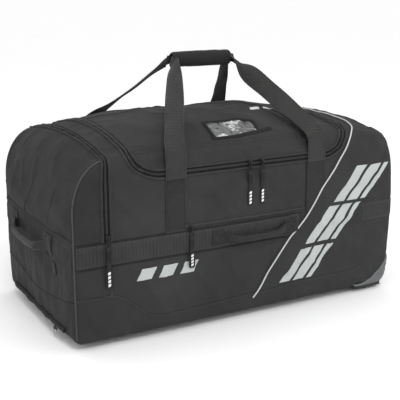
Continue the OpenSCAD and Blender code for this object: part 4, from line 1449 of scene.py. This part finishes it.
# ------------------------------------------------------------------ grab handles
def grab(name, pts, along, out_dir, z, body, nodes, half=0.0115, droop=0.009):
    """A webbing handle whose middle is rolled into a tube. pts are (position along, distance out, tube amount)."""
    K = catmull([[p[0], p[1], p[2]] for p in pts], 8)
    along, out_dir = np.array(along, float), np.array(out_dir, float)
    C = along * K[:, :1] + out_dir * K[:, 1:2] + np.array([0, 0, z]) - np.array([0, 0, 1.0]) * (droop * np.clip(K[:, 2:3], 0, 1) ** 1.2 * (0.75 + 0.25 * np.cos((K[:, :1] - K[:, 0].mean()) * 22)))
    t = unit(np.gradient(C, axis=0))
    U = np.tile([0, 0, 1.0], (len(C), 1))
    V = unit(np.cross(t, U))
    tube = np.clip(K[:, 2], 0, 1)

    def ring(i):
        wv = half - 0.0030 * tube[i] + 0.0004 * math.sin(i * 0.9) * tube[i]
        return rrect(wv, 0.0013 + 0.0052 * tube[i], 0.0011 + 0.0052 * tube[i], 6)
    return keep(sharp(sweep(name, C, U, V, ring), 70), body, WEB, nodes, "webbing")


sh_lo, sh_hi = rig.box("side_handle_bar")
grab("side_handle_grip", [(-0.076, W + 0.0062, 0), (-0.066, W + 0.0095, 0), (-0.052, W + 0.0165, 0.45), (-0.032, W + 0.0205, 1), (0.019, W + 0.0220, 1), (0.070, W + 0.0205, 1), (0.090, W + 0.0165, 0.45), (0.104, W + 0.0095, 0), (0.114, W + 0.0062, 0)],
     (1, 0, 0), (0, -1, 0), 0.2145, "side_handle", ("side_handle_bar", "side_handle_ends"))
eh_lo, eh_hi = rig.box("end_handle_bar")
L0 = -X0
grab("end_handle_grip", [(-0.096, L0 + 0.0075, 0), (-0.085, L0 + 0.0115, 0), (-0.066, L0 + 0.0195, 0.45), (-0.046, L0 + 0.0240, 1), (0.020, L0 + 0.0255, 1), (0.088, L0 + 0.0240, 1), (0.108, L0 + 0.0195, 0.45), (0.127, L0 + 0.0115, 0), (0.138, L0 + 0.0075, 0)],
     (0, 1, 0), (-1, 0, 0), 0.206, "end_handle", ("end_handle_bar", "end_handle_ends"), half=0.0125)


def patch(name, a, b, w, chart, replaces=(), box_stitch=True):
    ribbon(name, [a, b], w, chart, WEB, "shell", h=0.0046, bottom=0.0012, across=12, step=0.003, relief=web_relief, replaces=replaces, slot="webbing")
    a, b = np.array(a, float), np.array(b, float)
    d = unit(b - a)
    n = np.array([-d[1], d[0]]) * (w / 2 - 0.004)
    p, q = a + d * 0.004, b - d * 0.004
    c = [p - n, q - n, q + n, p + n]
    for i in range(4):
        stitch("stitch_shell", [c[i], c[(i + 1) % 4]], chart, 0.0048)
    stitch("stitch_shell", [c[0], c[2]], chart, 0.0048)
    stitch("stitch_shell", [c[1], c[3]], chart, 0.0048)


patch("side_anchor_left", (-0.096, 0.2145), (-0.062, 0.2145), 0.038, front, ("side_handle_patches",))
patch("side_anchor_right", (0.101, 0.2145), (0.136, 0.2145), 0.038, front)
patch("end_anchor_back", (0.126, 0.2145), (0.162, 0.2145), 0.042, left, ("end_handle_patches",))
patch("end_anchor_front", (-0.118, 0.2145), (-0.082, 0.2145), 0.042, left)
ribbon("end_tab", [(-0.119, 0.150), (-0.119, 0.178)], 0.016, left, WEB, "shell", h=0.0035, across=6, step=0.002, relief=lambda s, u: 0.0012 * np.sin(np.clip(s / 0.028, 0, 1) * np.pi), slot="webbing")


# ------------------------------------------------------------------ sliders and pulls
def merge(name, parts):
    V, F = [], []
    for v, f in parts:
        k = len(V)
        V += [tuple(map(float, p)) for p in v]
        F += [tuple(i + k for i in q) for q in f]
    return fix_normals(new_mesh(name, V, F))


def rings_part(R):
    R = [np.asarray(r, float) for r in R]
    k = len(R[0])
    V = np.concatenate(R)
    F = [(i * k + j, i * k + (j + 1) % k, (i + 1) * k + (j + 1) % k, (i + 1) * k + j) for i in range(len(R) - 1) for j in range(k)]
    F += [tuple(range(k - 1, -1, -1)), tuple((len(R) - 1) * k + j for j in range(k))]
    return V, F


def stacked(c, U, V, Wv, prof):
    """Rounded block: prof is a list of (position along Wv, half width, half depth, corner)."""
    c, U, V, Wv = map(lambda q: np.array(q, float), (c, U, V, Wv))
    return rings_part([c + Wv * p + rrect(a, b, r, 3)[:, :1] * U + rrect(a, b, r, 3)[:, 1:] * V for p, a, b, r in prof])


def tube_part(C, r, k=8):
    C = np.asarray(C, float)
    t = unit(np.gradient(C, axis=0))
    ref = np.array([0.3, 0.9, 0.2])
    U = unit(np.cross(t, ref))
    V = np.cross(t, U)
    a = np.linspace(0, 2 * math.pi, k + 1)[:-1]
    return rings_part([C[i] + r * (np.cos(a)[:, None] * U[i] + np.sin(a)[:, None] * V[i]) for i in range(len(C))])


def slider_piece(name, node, body, out_dir, long_dir, proud=0.0):
    lo, hi = map(np.array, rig.box(node))
    O, L = np.array(out_dir, float), np.array(long_dir, float)
    c = (lo + hi) / 2 + O * proud
    S = np.cross(O, L)
    hl = abs((hi - lo) @ np.abs(L)) / 2
    hs = abs((hi - lo) @ np.abs(S)) / 2
    ho = abs((hi - lo) @ np.abs(O)) / 2
    body_part = stacked(c - O * ho * 0.35, S, O, L, [(-hl, hs * .45, ho * .30, .001), (-hl * .9, hs * .62, ho * .5, .0015), (-hl * .3, hs * .72, ho * .62, .002), (hl * .5, hs, ho * .62, .002), (hl * .92, hs * .92, ho * .5, .0015), (hl, hs * .7, ho * .32, .001)])
    arc = [c + L * (hl * .62 * math.cos(a)) + O * (ho * .2 + ho * .72 * math.sin(a)) for a in np.linspace(0, math.pi, 12)]
    bridge = tube_part(arc, 0.00105)
    keep(sharp(merge(name, [body_part, bridge])), body, METAL, (node,), "slider_metal")


def pull_piece(name, node, body, proud=0.0):
    """Wire ring, cord and moulded tag with plain raised ticks."""
    lo, hi = map(np.array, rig.box(node))
    cx, cy = (lo[0] + hi[0]) / 2, lo[1] + 0.0017 - proud
    ztop, zbot = hi[2], lo[2]
    hw = 0.0072
    ringc = [(cx + 0.0050 * math.sin(a), cy, ztop - 0.0075 + 0.0062 * math.cos(a)) for a in np.linspace(0, 2 * math.pi, 22)]
    wire = tube_part(ringc, 0.0009)
    L = ztop - zbot
    z1 = ztop - 0.0125
    zt = zbot + L * 0.52
    lead = stacked((cx, cy, z1), (1, 0, 0), (0, 1, 0), (0, 0, -1), [(-0.001, .0030, .0009, .0008), (0.001, .0050, .0014, .0012)] + [((z1 - zt) * k / 9, .0054 + .0003 * math.sin(k * 1.7), .00125, .0011) for k in range(1, 10)])
    knot = stacked((cx, cy, z1), (1, 0, 0), (0, 1, 0), (0, 0, -1), [(-0.001, .003, .0011, .001), (0.001, .0052, .0018, .0016), (0.006, .0056, .0019, .0017), (0.0085, .0042, .0013, .0011)])
    keep(merge(name + "_cord", [wire, lead, knot]), body, PULL, (), "slider_metal")
    tl = zt - zbot
    tag = stacked((cx, cy, zt + 0.003), (1, 0, 0), (0, 1, 0), (0, 0, -1), [(0, .0032, .0012, .001), (0.003, .0046, .0016, .0015), (0.010, .0052, .0016, .0016), (tl * .55, hw * .98, .0017, .0017), (tl * .85, hw * 1.06, .0017, .0017), (tl, hw, .0016, .0016), (tl + 0.003, hw * .7, .0010, .001)])
    ribs = [stacked((cx, cy - 0.0016, zt - 0.004 - k * 0.0034), (1, 0, 0), (0, 1, 0), (0, 0, -1), [(0, .0040, .0003, .0003), (.0007, .0044, .0006, .0005), (.0014, .0040, .0003, .0003)]) for k in range(3)]
    t = keep(sharp(merge(name, [tag, *ribs])), body, PULL, (node,), "pull_rubber")
    ticks = [stacked((cx + dx, cy - 0.00175, zbot + tl * f), (1, 0, 0.35), (0, 1, 0), (0, 0, -1), [(0, .0026, .0002, .0002), (.0008, .0030, .00035, .0003), (tl * .100, .0030, .00035, .0003), (tl * .112, .0026, .0002, .0002)]) for dx, f in ((0.0, .70), (0.0, .54), (0.0, .38), (0.0, .22))]
    keep(merge(name + "_ticks", ticks), body, INK_W)


for nm, bd in (("main_slider_left", "main_slider_left"), ("main_slider_right", "main_slider_right"), ("pocket_slider", "pocket_slider"), ("end_slider", "end_slider")):
    slider_piece(nm + "_body", nm, bd, (0, -1, 0), (0, 0, 1), 0.0022 if nm == "pocket_slider" else 0.0008)
slider_piece("base_slider_body", "base_pocket_slider", "base_pocket_slider", (-1, 0, 0), (0, 0, 1))
for nm in ("main_pull_left", "main_pull_right", "pocket_pull", "end_pull"):
    pull_piece(nm + "_tag", nm, nm, {"pocket_pull": 0.0045, "main_pull_right": 0.0030}.get(nm, 0.0012))
lo, hi = map(np.array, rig.box("base_pocket_pull"))
c = (lo + hi) / 2
rr = [(c[0], c[1] + 0.0058 * math.sin(a), c[2] + (hi[2] - lo[2]) * 0.46 * math.cos(a)) for a in np.linspace(0, 2 * math.pi, 30)]
keep(merge("base_pull_ring", [tube_part(rr, 0.0011)]), "base_pocket_pull", STEEL, ("base_pocket_pull",), "slider_metal")


# ------------------------------------------------------------------ wheels and guards
def tread(name, node, body):
    lo, hi = map(np.array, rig.box(node))
    c = (lo + hi) / 2
    w, R = (hi[1] - lo[1]) / 2, (hi[2] - lo[2]) / 2
    prof = [(0.0222, -w), (0.0285, -w), (R - 0.0026, -w + 0.0004), (R - 0.0008, -w + 0.0022), (R, -w * 0.55), (R - 0.0011, -w * 0.45), (R - 0.0011, -w * 0.36), (R, -w * 0.27), (R, 0), (R, w * 0.27), (R - 0.0011, w * 0.36), (R - 0.0011, w * 0.45), (R, w * 0.55), (R - 0.0008, w - 0.0022), (R - 0.0026, w - 0.0004), (0.0285, w), (0.0222, w)]
    n = 96
    rings = []
    for k in range(n):
        a = 2 * math.pi * k / n
        g = 0.0007 if k % 4 == 0 else 0.0
        rings.append([(c[0] + (r - (g if r > R - 0.003 else 0)) * math.sin(a), c[1] + y, c[2] + (r - (g if r > R - 0.003 else 0)) * math.cos(a)) for r, y in prof])
    V = np.array(rings).reshape(-1, 3)
    m = len(prof)
    F = [(k * m + j, k * m + (j + 1) % m, ((k + 1) % n) * m + (j + 1) % m, ((k + 1) % n) * m + j) for k in range(n) for j in range(m)]
    keep(sharp(fix_normals(new_mesh(name, V, F)), 35), body, RUBBER, (node,), "wheel_rubber")


tread("wheel_tread_front", "tyre_front", "wheel_front")
tread("wheel_tread_back", "tyre_back", "wheel_back")
def column_patch(name, S, z0, z1, chart, mat, body, h, bottom=-0.0010, rows=14, slot=None):
    """A moulded shell over the columns S of a chart, from z0 up to z1(s), with a rolled rim."""
    v = np.linspace(0, 1, rows)
    Q = np.array([[(s_, z0 + (z1[i] - z0) * t) for t in v] for i, s_ in enumerate(S)])
    n, m = Q.shape[:2]
    base, nrm = on(chart(Q.reshape(-1, 2)), 0.0)
    e = np.minimum(np.arange(n), np.arange(n)[::-1]) / 3.0
    rim = np.clip(e, 0, 1)[:, None] * np.clip((1 - v) * 7, 0, 1)[None, :]
    H = h * (0.35 + 0.65 * np.sqrt(rim)) + 0.0007 * np.sin(v * 30)[None, :] * rim
    T = (base + nrm * H.reshape(-1, 1)).reshape(n, m, 3)
    B = (base + nrm * bottom).reshape(n, m, 3)
    return keep(sharp(slab(name, T, B)), body, mat, (), slot)


def mirrored(chart):
    def f(q):
        p = chart(q)
        p[:, 1] = -p[:, 1]
        return p
    return f


S = np.linspace(LX - 0.100, LX + 0.056, 64)
prof = np.interp(S, [LX - 0.100, LX - 0.078, LX - 0.052, LX - 0.028, LX - 0.012, LX, LX + 0.020, LX + 0.040, LX + 0.056],
                 [Z0 + 0.0035, 0.0240, 0.0350, 0.0540, 0.0740, 0.0880, 0.0900, 0.0800, 0.0580])
for k, ch in (("front", wrap), ("back", mirrored(wrap))):
    g = column_patch(f"wheel_guard_{k}", S, Z0 + 0.0005, prof, ch, GUARD, "shell", 0.0036, slot="guard_plastic")
    sy = -1 if k == "front" else 1
    wlo, whi = map(np.array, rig.box(f"tyre_{k}"))
    wc = (wlo + whi) / 2
    cx, cy = wc[0] + 0.0015, wc[1]

    def ring_at(hx, hy, z, r):
        q = rrect(hx, hy, r, 6)
        return np.stack([cx + q[:, 0], cy + q[:, 1], np.full(len(q), z)], 1)
    well = loft(f"wheel_well_{k}", [
        ring_at(0.026, 0.0165, 0.0708, 0.008), ring_at(0.0345, 0.0175, 0.064, 0.009), ring_at(0.0385, 0.0180, 0.040, 0.009), ring_at(0.0392, 0.0182, 0.0100, 0.010),
        ring_at(0.0400, 0.0190, 0.0084, 0.010), ring_at(0.0435, 0.0220, 0.0084, 0.011), ring_at(0.0446, 0.0226, 0.0100, 0.011), ring_at(0.0446, 0.0226, 0.0150, 0.011),
        ring_at(0.0430, 0.0216, 0.0165, 0.011), ring_at(0.0425, 0.0212, 0.040, 0.011), ring_at(0.0375, 0.0205, 0.067, 0.010), ring_at(0.028, 0.0190, 0.0745, 0.009)])
    keep(sharp(well), "shell", RAIL, (f"wheel_housing_{k}",), "guard_plastic")
for node, mat in (("skid_rails", RAIL), ("wheel_axles", STEEL), ("base_rivets", STEEL), ("base_board", BOARD), ("wheel_hub_front", HUB), ("wheel_hub_back", HUB)):
    o = frame["nodes"][node]
    if len(o.data.materials) == 0:
        o.data.materials.append(mat)
    for sl in o.material_slots:
        sl.material = mat


# ------------------------------------------------------------------ stitches become one piece for each body
for g, (V, F) in DASH.items():
    if V:
        o = new_mesh(g, V, F)
        keep(o, g.replace("stitch_", ""), THREAD)

for nm, o in frame["nodes"].items():
    if not o.hide_render:
        print("CAD node still shown:", nm)

# ------------------------------------------------------------------ floor, light and camera
def floor():
    n = 40
    V = [(-60 + 120 * i / n, -60 + 120 * j / n, 0.0) for i in range(n + 1) for j in range(n + 1)]
    F = [(i * (n + 1) + j, (i + 1) * (n + 1) + j, (i + 1) * (n + 1) + j + 1, i * (n + 1) + j + 1) for i in range(n) for j in range(n)]
    o = new_mesh("floor", V, F)
    m = Nodes("floor_paper")
    c = m.mix(m.remap(m.noise(3.0, 2), 0.3, 0.7, 0, 1), (0.955, 0.955, 0.955), (0.97, 0.97, 0.97))
    m.bump(m.noise(200.0, 2), 0.02, 0.0002)
    o.data.materials.append(m.finish(c, m.remap(m.noise(20.0, 2), 0, 1, 0.85, 0.95)))
    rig.stage(o)


floor()
world = bpy.data.worlds.new("studio")
bpy.context.scene.world = world
world.use_nodes = True
world.node_tree.nodes["Background"].inputs[0].default_value = (1, 1, 1, 1)
world.node_tree.nodes["Background"].inputs[1].default_value = 1.02


def area(name, loc, at, size, power):
    d = bpy.data.lights.new(name, "AREA")
    d.shape = "RECTANGLE"
    d.size, d.size_y = size
    d.energy = power
    o = bpy.data.objects.new(name, d)
    bpy.context.scene.collection.objects.link(o)
    o.location = loc
    o.rotation_euler = (Vector(at) - Vector(loc)).to_track_quat("-Z", "Y").to_euler()
    return o


area("key", (-0.55, -2.1, 2.3), (0, 0, 0.30), (0.9, 0.7), 28)
area("top", (-0.2, 0.7, 2.7), (0, 0, 0.4), (1.6, 1.2), 5)
area("fill", (2.0, -2.2, 1.0), (0.1, 0, 0.25), (0.9, 0.9), 10)

cam_d = bpy.data.cameras.new("camera")
cam = bpy.data.objects.new("camera", cam_d)
bpy.context.scene.collection.objects.link(cam)
cam_d.lens = 77.2
cam_d.sensor_width = 36.0
cam.location = (-1.027, -1.848, 0.787)
cam.rotation_euler = (Vector((0.0048, 0, 0.2366)) - cam.location).to_track_quat("-Z", "Y").to_euler()
bpy.context.scene.camera = cam

bpy.context.scene.view_settings.view_transform = "Standard"
low_, high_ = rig.bounds()
with open("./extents.json", "w") as f:
    json.dump({"cad_box": CAD_BOX, "visual_box": [[float(v) for v in low_], [float(v) for v in high_]]}, f)
